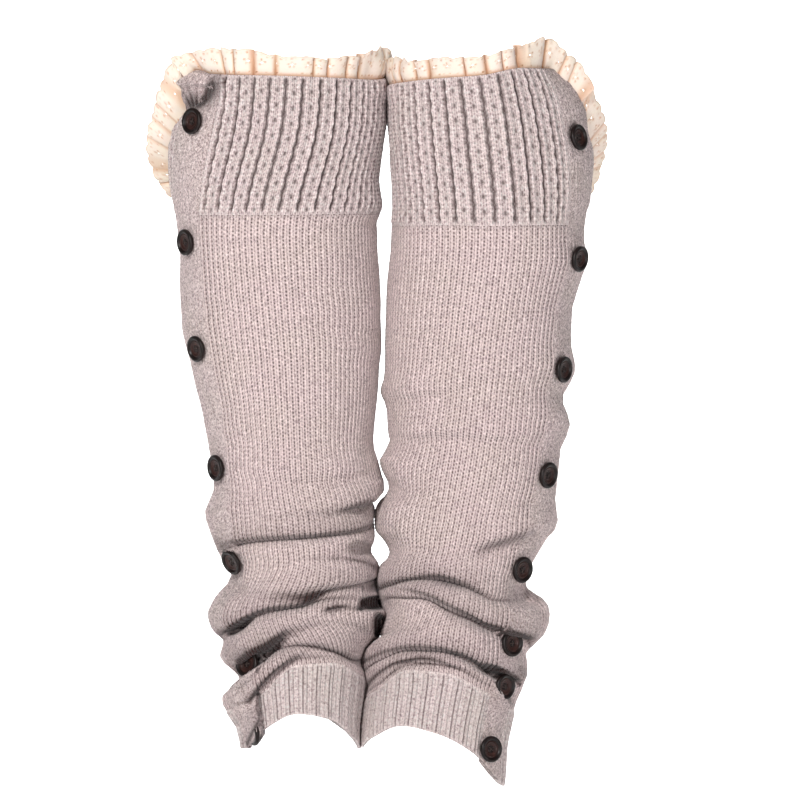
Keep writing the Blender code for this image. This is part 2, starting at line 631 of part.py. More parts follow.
def main():
    for old in list(bpy.data.objects):
        bpy.data.objects.remove(old, do_unlink=True)
    pair = bpy.data.objects.new("pair_of_cuffs", None)
    bpy.context.collection.objects.link(pair)

    knit = paint("knit", (0.60, 0.52, 0.51), 0.95)
    ribbed = paint("ribbed_knit", (0.57, 0.49, 0.48), 0.95)
    strip = paint("placket_knit", (0.60, 0.52, 0.51), 0.95)
    lace_cotton = paint("lace", (0.92, 0.83, 0.72), 0.9)
    horn = paint("dark_button", (0.02, 0.012, 0.01), 0.28)

    # Degrees from the placket's centre line, over the front and back to it.
    cloth = np.concatenate(
        [
            [PLACKET_HALF + 0.6],
            np.linspace(28.0, 325.0, 24),
            [335.0, 360.0 - PLACKET_HALF, 360.0 - BACK_END],
        ]
    )
    under_columns = np.array([-UNDER_HALF, -4.0, 4.0, UNDER_HALF])
    strip_columns = np.array([-PLACKET_HALF, -BACK_END, -4.0, 4.0, UNDER_HALF, PLACKET_HALF])
    lace_columns = np.concatenate([under_columns, cloth[:-2], [345.5]])
    soft, fold = (0.0, 0.5), (0.0, 0.3, 0.72)

    for side in ("left", "right"):
        cuff = Cuff(side)
        names = cuff.names
        steps = {
            name: soft if name in ("waist", "knee", "upper_guide") else fold
            for name in names
        }
        steps["top"] = (0.0, 0.11, 0.55)
        steps["band"] = (0.0, 0.5)
        steps["seam"] = (HEM_START, 0.4, 0.7)

        band_rows = rows_between(cuff, names[:2], [steps["top"]])
        body_rows = rows_between(cuff, names[1:-1], [steps[n] for n in names[1:-2]])
        body_rows.append((names[-2], names[-1], HEM_START))
        hem_rows = rows_between(cuff, names[-2:], [steps["seam"]])
        all_rows = band_rows[:-1] + body_rows[:-1] + hem_rows
        level = layer_level(cloth)
        clouds = []

        outer, inner = grid(cuff, band_rows, cloth, level, BAND_THICK, (0.0, 0.32))
        clouds.append(facets(outer))
        add_object(f"{side}_top_band", *wall(outer, inner, 1), ribbed, pair)
        outer, inner = grid(cuff, body_rows, cloth, level, BODY_THICK, (0.32, 0.32))
        clouds.append(facets(outer))
        add_object(f"{side}_body", *wall(outer, inner), knit, pair)
        outer, inner = grid(cuff, hem_rows, cloth, level, HEM_THICK, (0.32, 0.0))
        clouds.append(facets(outer))
        add_object(f"{side}_hem_rib", *wall(outer, inner), ribbed, pair)

        outer, inner = grid(cuff, all_rows, strip_columns, 0.0, PLACKET_THICK)
        clouds.append(facets(outer))
        add_object(f"{side}_button_placket", *wall(outer, inner, 1), strip, pair)
        outer, inner = grid(
            cuff, all_rows, under_columns, -(PLACKET_THICK + GAP), UNDER_THICK
        )
        add_object(f"{side}_under_placket", *wall(outer, inner, 1), strip, pair)

        outer, inner = lace_grid(cuff, lace_columns, (-1, 0.0, 0.35, 0.68, 1.0), 1.3)
        add_object(f"{side}_lace_trim", *wall(outer, inner, 1), lace_cotton, pair)

        cloud = np.concatenate(clouds)
        verts, faces = lathe(button_profile())
        for number, row in enumerate(BUTTONS[side], 1):
            place, across, normal = seat(cuff, cloud, *row)
            up = np.cross(normal, across)
            turned = verts @ np.array([across, up, normal]) + place
            add_object(f"{side}_button_{number}", turned, faces, horn, pair, 30.0)


main()
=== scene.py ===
"""Scene for the pair of knitted boot cuffs: knitted bands, bodies, hems and
plackets with their stitches, gathered eyelet lace and turned buttons, fitted
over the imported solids.

Lengths in the tables are millimetres. Angles go round a leg: 0 is its front,
+90 is +X and -90 is -X. The cuffs' surface is worked out as the solids are.
"""

import math

import bpy
import numpy as np
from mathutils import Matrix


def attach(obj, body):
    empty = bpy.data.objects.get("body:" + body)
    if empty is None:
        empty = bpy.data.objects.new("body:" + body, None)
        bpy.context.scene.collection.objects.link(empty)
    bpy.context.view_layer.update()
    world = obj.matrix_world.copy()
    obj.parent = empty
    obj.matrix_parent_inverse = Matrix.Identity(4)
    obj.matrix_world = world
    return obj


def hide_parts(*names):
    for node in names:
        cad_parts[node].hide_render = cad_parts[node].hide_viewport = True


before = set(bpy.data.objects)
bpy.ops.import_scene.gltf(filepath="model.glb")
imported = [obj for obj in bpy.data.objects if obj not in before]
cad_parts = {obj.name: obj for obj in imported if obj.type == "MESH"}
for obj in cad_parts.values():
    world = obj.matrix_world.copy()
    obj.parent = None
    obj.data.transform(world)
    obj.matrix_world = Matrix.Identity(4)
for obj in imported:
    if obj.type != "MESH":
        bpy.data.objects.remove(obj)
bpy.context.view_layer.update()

MM = 0.001

BAND_THICK = 3.0
BODY_THICK = 2.0
HEM_THICK = 2.2
PLACKET_THICK = 2.0
UNDER_THICK = 1.8
LACE_THICK = 1.0
GAP = 0.35

PLACKET_HALF = 16.0  # degrees each side of the placket's centre line
UNDER_HALF = 11.5
BACK_END = 13.1  # the back edge lies this near the centre line, under the placket
BUTTON_DIAMETER = 16.0
BUTTON_THICK = 3.2
LACE_HEIGHT = 17.0
LACE_TUCK = 4.0
HEM_START = 0.11  # the hem begins this share of the way below the last crease

# Folds are drawn sharper here than in the solids.
OVERHANG = 1.25
CREASE_WIDTH = 1.0

STATIONS = (-90, -60, -30, 0, 30, 60, 90, 130, 180, 230)

# Outline of each cuff seen from the front: height, left edge, right edge.
OUTLINE = {
    "left": (
        (54.0, -123.0, 0.5),
        (51.6, -122.2, 0.8),
        (49.2, -121.4, 1.0),
        (47.4, -120.3, 1.3),
        (45.9, -119.1, 1.3),
        (44.4, -120.0, 1.3),
        (42.0, -121.8, 1.4),
        (39.6, -123.2, 1.4),
        (37.2, -118.8, 1.7),
        (34.8, -119.7, 1.7),
        (32.4, -119.7, 1.8),
        (30.0, -118.8, 1.8),
        (27.6, -118.9, 1.7),
        (25.2, -120.8, 1.7),
        (22.8, -121.7, 1.7),
        (20.4, -123.7, 1.7),
        (18.0, -125.3, 1.7),
        (15.6, -126.4, 1.5),
        (13.2, -127.0, 1.2),
        (10.8, -127.7, 0.8),
        (8.4, -128.0, 0.5),
        (6.0, -128.3, 0.2),
        (3.6, -128.6, -0.2),
        (1.2, -128.7, -0.5),
        (-1.2, -128.7, -0.8),
        (-3.6, -128.7, -1.2),
        (-6.0, -128.8, -1.5),
        (-8.4, -128.7, -1.8),
        (-10.8, -128.7, -2.0),
        (-13.2, -128.6, -2.3),
        (-15.6, -128.5, -2.5),
        (-18.0, -128.3, -2.7),
        (-20.4, -128.1, -2.3),
        (-22.8, -127.9, -2.0),
        (-25.2, -127.6, -1.6),
        (-27.6, -127.2, -1.2),
        (-30.0, -126.8, -0.8),
        (-31.8, -126.4, -0.6),
        (-34.8, -126.0, -1.1),
        (-37.2, -125.7, -1.5),
        (-39.6, -125.4, -2.6),
        (-42.0, -125.0, -3.6),
        (-44.4, -124.7, -4.1),
        (-46.8, -124.4, -3.9),
        (-49.2, -124.1, -3.7),
        (-51.6, -123.8, -3.5),
        (-54.0, -123.5, -3.3),
        (-56.4, -123.3, -3.1),
        (-58.8, -123.1, -2.9),
        (-61.2, -122.9, -2.8),
        (-63.6, -122.7, -2.6),
        (-66.0, -122.6, -2.4),
        (-68.4, -122.6, -2.3),
        (-70.8, -122.6, -2.1),
        (-73.2, -122.6, -2.0),
        (-75.6, -122.6, -1.9),
        (-78.0, -122.6, -1.8),
        (-80.4, -122.6, -1.7),
        (-82.8, -122.5, -1.6),
        (-85.2, -122.4, -1.5),
        (-87.6, -122.3, -1.4),
        (-90.0, -122.3, -1.3),
        (-92.4, -122.2, -1.3),
        (-94.8, -122.0, -1.3),
        (-97.2, -121.9, -1.3),
        (-99.6, -121.7, -1.3),
        (-102.0, -121.6, -1.2),
        (-104.4, -121.4, -1.1),
        (-106.8, -121.3, -0.9),
        (-109.2, -120.9, -0.7),
        (-111.6, -120.4, -0.7),
        (-114.0, -119.8, -0.7),
        (-116.4, -119.3, -0.8),
        (-118.8, -118.7, -1.0),
        (-121.2, -118.2, -1.2),
        (-123.6, -117.6, -1.5),
        (-126.0, -117.0, -1.8),
        (-128.4, -116.4, -2.1),
        (-130.8, -115.9, -2.3),
        (-133.2, -115.2, -2.5),
        (-135.6, -114.6, -2.7),
        (-138.0, -114.0, -2.9),
        (-140.4, -113.4, -3.1),
        (-142.8, -112.8, -3.2),
        (-145.2, -112.2, -3.4),
        (-147.6, -111.6, -3.6),
        (-150.0, -111.0, -3.7),
        (-152.4, -110.5, -4.0),
        (-154.8, -110.0, -4.2),
        (-157.2, -109.4, -4.5),
        (-159.6, -108.9, -4.7),
        (-162.0, -108.4, -5.0),
        (-164.4, -107.9, -5.2),
        (-166.8, -107.4, -5.5),
        (-169.2, -107.0, -5.7),
        (-171.6, -106.6, -5.9),
        (-174.0, -106.2, -6.1),
        (-176.4, -105.8, -5.8),
        (-178.8, -105.4, -5.6),
        (-181.2, -105.0, -4.7),
        (-183.6, -104.6, -3.7),
        (-186.0, -104.2, -2.6),
        (-188.4, -104.0, -1.6),
        (-190.8, -103.4, -0.9),
        (-193.2, -103.1, -0.4),
        (-195.6, -102.9, -0.1),
        (-198.0, -102.9, 0.8),
        (-200.4, -102.9, 0.7),
        (-202.8, -102.8, 0.7),
        (-205.2, -103.2, -0.4),
        (-207.0, -103.9, -3.8),
        (-210.0, -105.0, -6.4),
        (-212.4, -105.9, -4.9),
        (-214.8, -106.8, -4.5),
        (-216.6, -107.5, -4.5),
        (-219.6, -107.3, -5.4),
        (-222.0, -107.0, -4.5),
        (-224.4, -106.1, -3.6),
        (-226.8, -105.2, -3.8),
        (-229.2, -104.3, -4.2),
        (-231.6, -103.1, -4.5),
        (-234.0, -101.7, -5.1),
        (-235.8, -100.7, -5.6),
        (-238.8, -100.7, -7.0),
        (-241.2, -100.2, -7.1),
        (-243.0, -99.2, -5.8),
        (-246.0, -96.8, -3.0),
        (-248.4, -94.3, -1.6),
        (-250.8, -92.5, -2.0),
        (-253.2, -92.4, -2.4),
        (-255.0, -93.5, -2.0),
        (-258.0, -94.2, -2.7),
        (-259.8, -94.6, -3.2),
        (-262.8, -96.9, -3.4),
        (-265.2, -98.7, -2.5),
        (-267.6, -100.3, -0.8),
        (-269.4, -101.6, 0.1),
        (-271.8, -102.8, 0.3),
        (-274.2, -103.9, 0.4),
        (-276.6, -105.0, 1.3),
        (-278.4, -105.2, 1.9),
        (-281.4, -105.0, 1.8),
        (-283.8, -104.0, 1.0),
        (-286.2, -102.2, -0.2),
        (-288.0, -100.8, -0.9),
        (-291.6, -99.1, -1.7),
        (-293.4, -97.5, -3.4),
        (-296.4, -96.5, -6.1),
        (-298.8, -96.8, -9.7),
        (-301.2, -97.3, -11.6),
        (-303.0, -97.9, -11.9),
        (-306.0, -95.2, -11.9),
        (-307.8, -91.8, -11.9),
        (-309.6, -89.8, -11.7),
        (-312.0, -89.4, -11.1),
        (-315.6, -88.7, -10.6),
        (-318.0, -86.5, -10.3),
        (-320.4, -88.5, -10.1),
        (-322.2, -90.6, -10.3),
        (-324.0, -93.4, -10.5),
        (-325.8, -95.4, -10.6),
        (-327.6, -97.1, -10.7),
        (-330.0, -97.0, -10.9),
        (-332.4, -96.9, -11.3),
        (-334.8, -95.7, -11.6),
        (-337.2, -94.4, -11.9),
        (-339.6, -92.8, -12.1),
        (-342.0, -91.1, -12.4),
        (-344.4, -89.4, -12.7),
        (-346.8, -87.8, -13.0),
        (-349.2, -87.3, -13.1),
        (-351.6, -86.7, -13.2),
        (-354.0, -86.1, -13.3),
        (-356.4, -85.7, -13.3),
        (-358.8, -85.4, -13.3),
        (-361.2, -85.1, -13.2),
        (-363.6, -84.9, -13.2),
        (-366.0, -84.6, -13.3),
    ),
    "right": (
        (54.0, 2.9, 105.0),
        (51.6, 2.8, 106.3),
        (49.2, 2.8, 107.7),
        (46.8, 2.8, 108.7),
        (44.4, 2.8, 110.5),
        (42.0, 2.8, 113.0),
        (39.6, 2.8, 115.5),
        (37.2, 2.6, 117.1),
        (34.8, 2.7, 118.4),
        (32.4, 2.7, 119.7),
        (30.0, 2.7, 120.7),
        (27.6, 2.7, 121.6),
        (25.2, 2.8, 122.3),
        (22.8, 2.8, 122.7),
        (20.4, 2.8, 123.1),
        (18.0, 2.8, 123.3),
        (15.6, 3.0, 123.4),
        (13.2, 3.2, 123.7),
        (10.8, 3.4, 124.0),
        (8.4, 3.7, 124.8),
        (6.0, 3.9, 125.6),
        (3.6, 4.2, 126.1),
        (1.2, 4.3, 126.6),
        (-1.2, 4.4, 126.7),
        (-3.6, 4.6, 126.9),
        (-6.0, 4.7, 127.0),
        (-8.4, 4.8, 127.0),
        (-10.8, 5.0, 127.0),
        (-13.2, 5.1, 126.8),
        (-15.6, 5.3, 126.6),
        (-18.0, 5.5, 126.4),
        (-20.4, 5.7, 126.2),
        (-22.8, 5.8, 126.0),
        (-25.2, 5.8, 125.8),
        (-27.0, 5.9, 125.6),
        (-30.0, 5.9, 125.3),
        (-31.8, 5.9, 125.0),
        (-34.2, 6.0, 124.0),
        (-36.6, 5.8, 123.0),
        (-39.6, 5.6, 122.5),
        (-42.0, 5.4, 122.1),
        (-44.4, 5.2, 121.6),
        (-46.8, 5.1, 121.4),
        (-49.2, 5.0, 121.3),
        (-51.6, 4.9, 121.3),
        (-54.0, 4.8, 121.2),
        (-56.4, 4.6, 121.7),
        (-58.8, 4.5, 122.3),
        (-61.2, 4.4, 123.0),
        (-63.6, 4.1, 123.2),
        (-66.0, 3.9, 123.5),
        (-68.4, 3.7, 123.1),
        (-70.8, 3.5, 122.1),
        (-73.2, 3.3, 121.1),
        (-75.0, 3.1, 120.4),
        (-78.0, 2.9, 119.4),
        (-80.4, 2.8, 118.6),
        (-82.8, 2.6, 117.8),
        (-85.2, 2.5, 117.0),
        (-87.6, 2.3, 116.3),
        (-90.0, 2.1, 115.6),
        (-92.4, 2.0, 114.9),
        (-94.8, 1.8, 114.2),
        (-97.2, 1.8, 114.1),
        (-99.6, 1.7, 113.9),
        (-102.0, 1.6, 113.8),
        (-104.4, 1.6, 113.6),
        (-106.8, 1.5, 113.4),
        (-109.2, 1.4, 113.3),
        (-111.0, 1.4, 113.2),
        (-114.0, 1.3, 113.3),
        (-116.4, 1.2, 113.4),
        (-118.8, 1.2, 113.5),
        (-121.2, 1.2, 114.1),
        (-123.6, 1.2, 114.7),
        (-126.0, 1.1, 115.3),
        (-128.4, 1.1, 115.9),
        (-130.8, 1.1, 116.0),
        (-133.2, 0.9, 116.0),
        (-135.6, 0.7, 114.9),
        (-138.0, 0.4, 113.8),
        (-140.4, -0.5, 112.5),
        (-142.8, -1.1, 111.3),
        (-144.6, -1.5, 110.4),
        (-146.4, -1.2, 109.4),
        (-148.2, -0.9, 109.2),
        (-150.0, -0.1, 109.1),
        (-152.4, 0.6, 108.8),
        (-154.8, 1.4, 109.8),
        (-157.2, 1.9, 110.8),
        (-159.6, 2.1, 111.7),
        (-162.0, 2.3, 112.4),
        (-164.4, 2.6, 113.1),
        (-166.8, 2.7, 112.4),
        (-169.2, 2.9, 111.6),
        (-171.6, 3.3, 110.8),
        (-174.0, 3.6, 109.7),
        (-176.4, 2.6, 108.7),
        (-178.8, 1.6, 107.6),
        (-181.2, 0.3, 107.3),
        (-183.6, -1.0, 107.1),
        (-186.0, -2.4, 106.7),
        (-188.4, -2.1, 106.4),
        (-190.8, -1.3, 106.1),
        (-193.2, -0.4, 105.7),
        (-195.6, 0.8, 105.4),
        (-198.0, 2.0, 105.1),
        (-199.8, 2.6, 104.9),
        (-202.8, 2.9, 104.7),
        (-205.2, 2.0, 104.4),
        (-207.0, 1.0, 104.2),
        (-210.0, -1.8, 103.9),
        (-212.4, -3.4, 104.2),
        (-214.8, -4.4, 104.5),
        (-216.6, -4.9, 104.7),
        (-219.6, -5.0, 105.2),
        (-222.0, -5.1, 105.7),
        (-224.4, -4.9, 104.9),
        (-226.8, -4.8, 104.2),
        (-229.2, -3.8, 102.9),
        (-231.6, -1.5, 100.6),
        (-234.0, 0.6, 98.7),
        (-236.4, 2.1, 97.1),
        (-238.8, 2.9, 95.5),
        (-240.6, 3.0, 94.3),
        (-243.0, 2.5, 92.8),
        (-246.0, 1.2, 91.0),
        (-248.4, -1.5, 89.6),
        (-250.2, -2.4, 88.5),
        (-252.0, -3.0, 88.1),
        (-255.6, -4.2, 86.8),
        (-258.0, -4.5, 86.0),
        (-259.8, -5.0, 86.9),
        (-262.8, -5.5, 89.6),
        (-265.2, -4.2, 91.0),
        (-267.6, -2.6, 93.4),
        (-269.4, -2.3, 96.2),
        (-271.8, -2.0, 97.9),
        (-273.6, -1.4, 99.4),
        (-276.6, 0.5, 100.0),
        (-278.4, 1.4, 100.4),
        (-281.4, 1.5, 100.2),
        (-283.8, 1.0, 100.0),
        (-286.2, 0.1, 99.1),
        (-288.6, -0.7, 97.8),
        (-290.4, -1.4, 95.3),
        (-293.4, -0.7, 91.6),
        (-296.4, -5.6, 90.9),
        (-298.8, -8.5, 90.1),
        (-301.2, -11.2, 88.2),
        (-303.0, -12.4, 86.7),
        (-306.0, -13.2, 86.7),
        (-308.4, -12.8, 86.8),
        (-310.8, -13.5, 86.8),
        (-312.6, -13.2, 86.6),
        (-314.4, -12.5, 86.0),
        (-316.2, -11.7, 86.3),
        (-318.0, -11.1, 86.7),
        (-320.4, -10.6, 86.0),
        (-322.8, -11.2, 84.8),
        (-325.2, -11.9, 83.2),
        (-327.6, -11.8, 81.9),
        (-330.0, -11.6, 80.9),
        (-332.4, -11.7, 80.0),
        (-334.8, -11.9, 79.3),
        (-337.2, -12.1, 78.8),
        (-339.6, -12.3, 78.3),
        (-342.0, -12.6, 77.8),
        (-343.8, -12.8, 77.4),
        (-346.8, -13.2, 76.8),
        (-349.2, -13.3, 76.3),
        (-351.6, -13.4, 75.8),
        (-354.0, -13.5, 75.4),
        (-356.4, -13.5, 74.9),
        (-358.8, -13.5, 74.6),
        (-361.2, -13.4, 74.5),
        (-363.6, -13.4, 74.3),
        (-366.0, -13.1, 74.1),
        (-368.4, -13.1, 73.9),
        (-370.8, -13.1, 73.8),
        (-373.2, -13.1, 73.6),
        (-375.6, -13.1, 73.4),
        (-378.0, -13.1, 73.2),
        (-380.4, -13.1, 73.1),
        (-382.8, -13.1, 72.9),
    ),
}

# A leg from the side: height, front of the shin, back of the calf.
SIDE = (
    (60.0, -58.0, 58.0),
    (0.0, -58.0, 60.0),
    (-60.0, -57.0, 61.0),
    (-120.0, -53.0, 56.0),
    (-180.0, -50.0, 50.0),
    (-240.0, -47.0, 46.0),
    (-300.0, -46.0, 45.0),
    (-340.0, -48.0, 45.0),
    (-385.0, -51.0, 46.0),
)

# Rings round each cuff from its top edge to its hem: name, height at each
# station, how strongly the fold shows at each station, then the fold's lip,
# dip, overhang and width. A ring with no lip or dip is only a guide.
NONE = (0,) * 10
RINGS = {
    "left": (
        ("top", (4.0, 46.2, 44.4, 43.5, 42.6, 42.0, 43.8, 40.0, 24.0, -18.0), NONE, 0, 0, 0, 5),
        ("band", (-38.4, -39.0, -39.6, -39.6, -39.0, -38.4, -37.8, -38.4, -39.6, -39.6), NONE, 0, 0, 0, 5),
        ("waist", (-84.0, -82.8, -80.4, -78.0, -75.6, -73.2, -72.0, -73.2, -78.0, -82.8), (0, 0, 0.2, 0.5, 0.6, 0.4, 0.1, 0.2, 0.4, 0.2), 0.8, 1.5, 0, 8),
        ("knee", (-117.0, -114.0, -109.2, -103.2, -104.4, -108.0, -111.6, -114.0, -111.0, -114.0), (0, 0, 0, 0.2, 0.6, 0.8, 0.5, 0.3, 0.3, 0.1), 1.2, 2.0, 0.5, 6),
        ("sag", (-199.2, -198.0, -197.4, -197.4, -196.8, -194.4, -190.8, -192.0, -195.6, -199.2), (0.2, 0.3, 0.5, 0.6, 0.8, 1, 0.6, 0.7, 0.8, 0.4), 2.4, 2.8, 1.5, 5),
        ("nip", (-219.6, -219.0, -218.4, -218.4, -216.6, -213.0, -209.4, -210.0, -214.8, -218.4), (0.1, 0.1, 0.1, 0.15, 0.5, 1, 0.5, 0.6, 0.3, 0.2), 2.0, 3.5, 2, 3.2),
        ("first_tuck", (-241.2, -238.2, -234.0, -232.2, -229.8, -228.0, -226.2, -229.2, -234.0, -238.8), (0.5, 0.9, 1, 1, 1, 0.9, 0.5, 0.7, 0.9, 0.8), 3.2, 5.0, 5, 2.6),
        ("inner_tuck", (-249.6, -247.8, -246.0, -244.8, -244.8, -247.2, -250.2, -249.6, -248.4, -249.6), (0, 0, 0, 0.1, 0.5, 1, 0.5, 0.5, 0.3, 0.1), 2.5, 3.5, 2.5, 2.6),
        ("hook", (-256.2, -259.8, -265.2, -264.6, -261.6, -259.2, -257.4, -260.4, -264.0, -259.2), (0.4, 0.2, 0.1, 0.6, 1, 1, 0.5, 0.6, 0.7, 0.6), 3.2, 5.5, 4.5, 2.8),
        ("second_tuck", (-292.2, -286.8, -277.8, -273.0, -268.2, -270.0, -271.2, -277.2, -283.2, -290.4), (0.5, 1, 1, 1, 0.4, 0.25, 0.4, 0.8, 0.9, 0.8), 4.0, 5.5, 5, 2.8),
        ("third_tuck", (-315.0, -308.4, -303.5, -286.8, -283.2, -288.0, -294.0, -294.0, -300.0, -310.8), (0.6, 1, 0.9, 0.35, 0.1, 0.2, 0.4, 0.5, 0.8, 0.8), 4.0, 6.5, 5, 3.0),
        ("roll", (-324.0, -318.0, -303.0, -296.0, -299.6, -305.4, -306.2, -306.0, -310.8, -319.2), (0.2, 0.3, 0.6, 0.8, 0.9, 1, 0.5, 0.7, 0.8, 0.5), 3.0, 4.5, 4, 2.6),
        ("seam", (-333.6, -333.0, -322.5, -305.0, -303.2, -309.0, -312.4, -313.2, -320.4, -330.0), (0.3, 0.4, 0.8, 0.7, 0.3, 0.2, 0.2, 0.5, 0.6, 0.4), 2.5, 3.0, 3, 2.6),
        ("hem", (-359.7, -356.6, -345.8, -337.8, -341.1, -351.9, -359.7, -350.0, -337.0, -349.0), NONE, 0, 0, 0, 5),
    ),
    "right": (
        ("top", (38.4, 40.2, 42.0, 43.8, 48.6, 48.4, 8.0, -18.0, 24.0, 36.0), NONE, 0, 0, 0, 5),
        ("band", (-45.6, -45.6, -45.6, -46.2, -45.6, -45.0, -44.4, -45.0, -45.6, -45.6), NONE, 0, 0, 0, 5),
        ("upper_guide", (-98.0, -98.0, -97.0, -95.0, -94.0, -95.0, -96.0, -97.0, -98.0, -98.0), NONE, 0, 0, 0, 5),
        ("waist", (-151.2, -150.0, -147.6, -143.4, -142.2, -144.6, -147.6, -148.8, -150.0, -151.2), (0.5, 1, 0.7, 0.6, 0.3, 0.1, 0.2, 0.3, 0.5, 0.5), 1.8, 2.0, 0.5, 6),
        ("sag", (-174.6, -174.6, -174.6, -175.2, -175.8, -177.6, -180.0, -178.8, -176.4, -174.6), (0.3, 0.6, 0.8, 0.8, 0.8, 0.5, 0.3, 0.4, 0.6, 0.4), 2.0, 2.2, 1, 5.5),
        ("nip", (-200.4, -201.6, -204.0, -206.4, -207.6, -206.4, -204.0, -202.8, -201.6, -200.4), (0.5, 0.4, 0.2, 0.1, 0.1, 0.1, 0.2, 0.4, 0.5, 0.6), 1.5, 1.5, 0.5, 6),
        ("outer_sag", (-241.8, -241.8, -241.8, -240.0, -237.0, -232.2, -231.6, -235.2, -240.0, -241.8), (0.5, 0.2, 0.1, 0.5, 1, 0.7, 0.3, 0.5, 0.6, 0.6), 2.6, 3.2, 1.5, 4),
        ("first_tuck", (-264.0, -259.8, -256.2, -260.4, -270.0, -270.0, -264.0, -262.8, -264.0, -265.2), (0.6, 1, 1, 1, 0.5, 0.3, 0.4, 0.7, 0.8, 0.7), 3.2, 5.5, 5, 2.6),
        ("second_tuck", (-272.2, -268.4, -268.0, -278.0, -287.0, -291.4, -299.0, -292.0, -284.0, -276.0), (0.3, 0.7, 0.9, 1, 1, 1, 0.6, 0.8, 0.8, 0.6), 4.5, 6.5, 5.5, 2.8),
        ("third_tuck", (-313.2, -306.0, -298.8, -300.0, -309.8, -315.6, -320.0, -317.0, -313.2, -313.2), (0.5, 1, 1, 1, 1, 1, 0.5, 0.8, 0.9, 0.7), 4.2, 6.5, 5.5, 2.8),
        ("seam", (-326.4, -320.4, -307.4, -309.0, -319.6, -326.8, -330.4, -330.0, -327.6, -326.4), (0.4, 0.8, 1, 0.8, 0.3, 0.1, 0.1, 0.4, 0.5, 0.4), 3.0, 4.5, 4, 2.6),
        ("hem", (-358.8, -352.2, -345.0, -349.8, -360.6, -375.6, -382.2, -366.0, -345.0, -346.0), NONE, 0, 0, 0, 5),
    ),
}

# The placket's centre line: height and angle.
PLACKET_LINE = {
    "left": ((54, -53), (17, -54), (-55, -66), (-120, -65), (-191, -67), (-246, -60), (-276, -74), (-306, -51), (-351, -51), (-380, -53)),
    "right": ((54, 66), (7, 66), (-65, 71), (-133, 68), (-196, 64), (-252, 58), (-294, 50), (-323, 53), (-360, 53), (-390, 54)),
}

# How far the lace leans out, in degrees, going round from the placket.
LACE_FLARE = (
    (0, 30), (16, 20), (30, 14), (60, 12), (105, 12), (138, 34), (165, 30), (195, 16), (230, 30),
    (262, 80), (285, 132), (300, 132), (318, 116), (335, 106), (346, 100),
)

